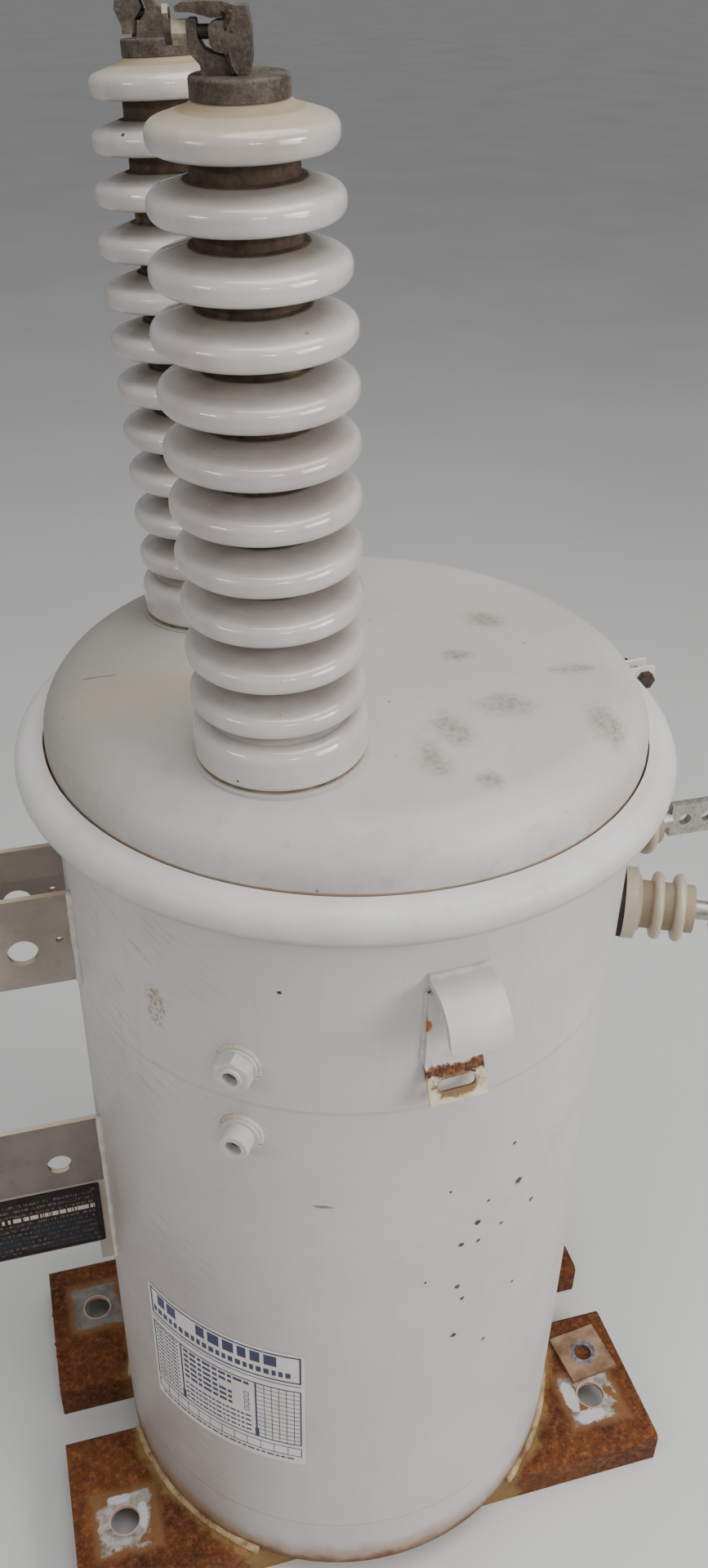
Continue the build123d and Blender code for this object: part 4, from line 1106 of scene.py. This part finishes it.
# Flakes of rust scale on the rails
flake_count = 900
flake_corners = 6
hole_clearance = 0.042
washer_clearance = 0.048
rng = random.Random(77)
flakes = []
for flake in range(flake_count):
    side = rng.choice((-1, 1))
    x = rng.uniform(rail_low.x + 0.006, rail_high.x - 0.006)
    if flake % 3 == 0:
        x = rng.choice((rail_low.x + 0.008, rail_high.x - 0.008)) + rng.uniform(-0.006, 0.006)
    y = side * rng.uniform(rail_inner + 0.010, rail_outer - 0.010)
    near_tank = math.hypot(x, y) < tank_radius + 0.010
    near_hole = math.hypot(abs(x) - rail_hole_x, abs(y) - rail_hole_y) < hole_clearance
    on_washer = max(abs(x - washer_x), abs(y - washer_y)) < washer_clearance
    if near_tank or near_hole or on_washer:
        continue
    centre = Vector((x, y, rail_top))
    size = rng.uniform(0.0014, 0.0046)
    turn = rng.uniform(0, math.pi)
    ring = []
    for corner in range(flake_corners):
        angle = turn + 2 * math.pi * corner / flake_corners
        reach = size * rng.uniform(0.6, 1.0)
        ring.append(centre + Vector((reach * math.cos(angle), reach * math.sin(angle), 0.0001)))
    crown = []
    for point in ring:
        rise = Vector((0, 0, rng.uniform(0.0004, 0.0009)))
        crown.append(centre + (point - centre) * 0.6 + rise)
    faces = side_faces(0, flake_corners)
    faces.append(tuple(range(flake_corners, 2 * flake_corners)))
    faces.append(tuple(range(flake_corners - 1, -1, -1)))
    flakes.append((ring + crown, faces))
add_piece("rail_scale", *joined(flakes), "rust", "rusty_steel", smooth=False)

# Floor
half_floor = 60.0
floor_look = Look("floor_pale", roughness=0.85)
floor_cloud = floor_look.noise(1.2, 3, 0.5)
floor_base = floor_look.ramp(floor_cloud, (0.3, hue(212, 212, 210)), (0.7, hue(220, 220, 218)))
floor_mesh = bpy.data.meshes.new("floor")
corners = [(x * half_floor, y * half_floor, 0) for x, y in ((-1, -1), (1, -1), (1, 1), (-1, 1))]
floor_mesh.from_pydata(corners, [], [(0, 1, 2, 3)])
floor_mesh.materials.append(floor_look.colour(floor_base))
floor = bpy.data.objects.new("floor", floor_mesh)
bpy.context.scene.collection.objects.link(floor)


# Lights
def area_light(name, place, target, width, depth, power, tint=(1, 1, 1)):
    data = bpy.data.lights.new(name, "AREA")
    data.shape = "RECTANGLE"
    data.size = width
    data.size_y = depth
    data.energy = power
    data.color = tint
    light = bpy.data.objects.new(name, data)
    light.location = place
    light.rotation_euler = (Vector(target) - Vector(place)).to_track_quat("-Z", "Y").to_euler()
    bpy.context.scene.collection.objects.link(light)


tank_aim = (0, 0, 0.8)
bushing_aim = (0, 0, 1.5)
area_light("overhead", (0.5, -0.5, 4.2), tank_aim, 3.0, 2.6, 100)
area_light("front_right", (2.3, -2.5, 2.3), tank_aim, 1.8, 1.6, 62, (1.0, 0.99, 0.97))
area_light("left_soft", (-3.0, -1.6, 2.6), tank_aim, 1.6, 1.8, 8, (1.0, 0.97, 0.95))
area_light("strip_left", (-2.92, -1.14, 2.45), bushing_aim, 1.1, 0.06, 13)
area_light("strip_middle", (-0.02, -3.14, 2.45), bushing_aim, 0.8, 0.06, 10)
area_light("strip_right", (2.32, -1.93, 2.45), bushing_aim, 1.1, 0.06, 15)
world = bpy.data.worlds.new("studio")
world.use_nodes = True
backdrop = world.node_tree.nodes["Background"]
backdrop.inputs["Color"].default_value = (0.86, 0.87, 0.88, 1)
backdrop.inputs["Strength"].default_value = 0.32
bpy.context.scene.world = world

# Camera, at the height, distance and slant that the photo was taken from
heading = math.radians(16.37)
pitch = math.radians(33.29)
roll = math.radians(1.11)
camera_data = bpy.data.cameras.new("camera")
camera_data.sensor_fit = "AUTO"
camera_data.sensor_width = 36.0
camera_data.lens = 29.64
camera_data.clip_end = 200
camera = bpy.data.objects.new("camera", camera_data)
camera.location = (-0.29207, -1.02304, 1.68539)
turn = Euler((math.pi / 2 - pitch, 0, -heading)).to_matrix()
camera.rotation_euler = (turn @ Matrix.Rotation(roll, 3, "Z")).to_euler()
bpy.context.scene.collection.objects.link(camera)
bpy.context.scene.camera = camera
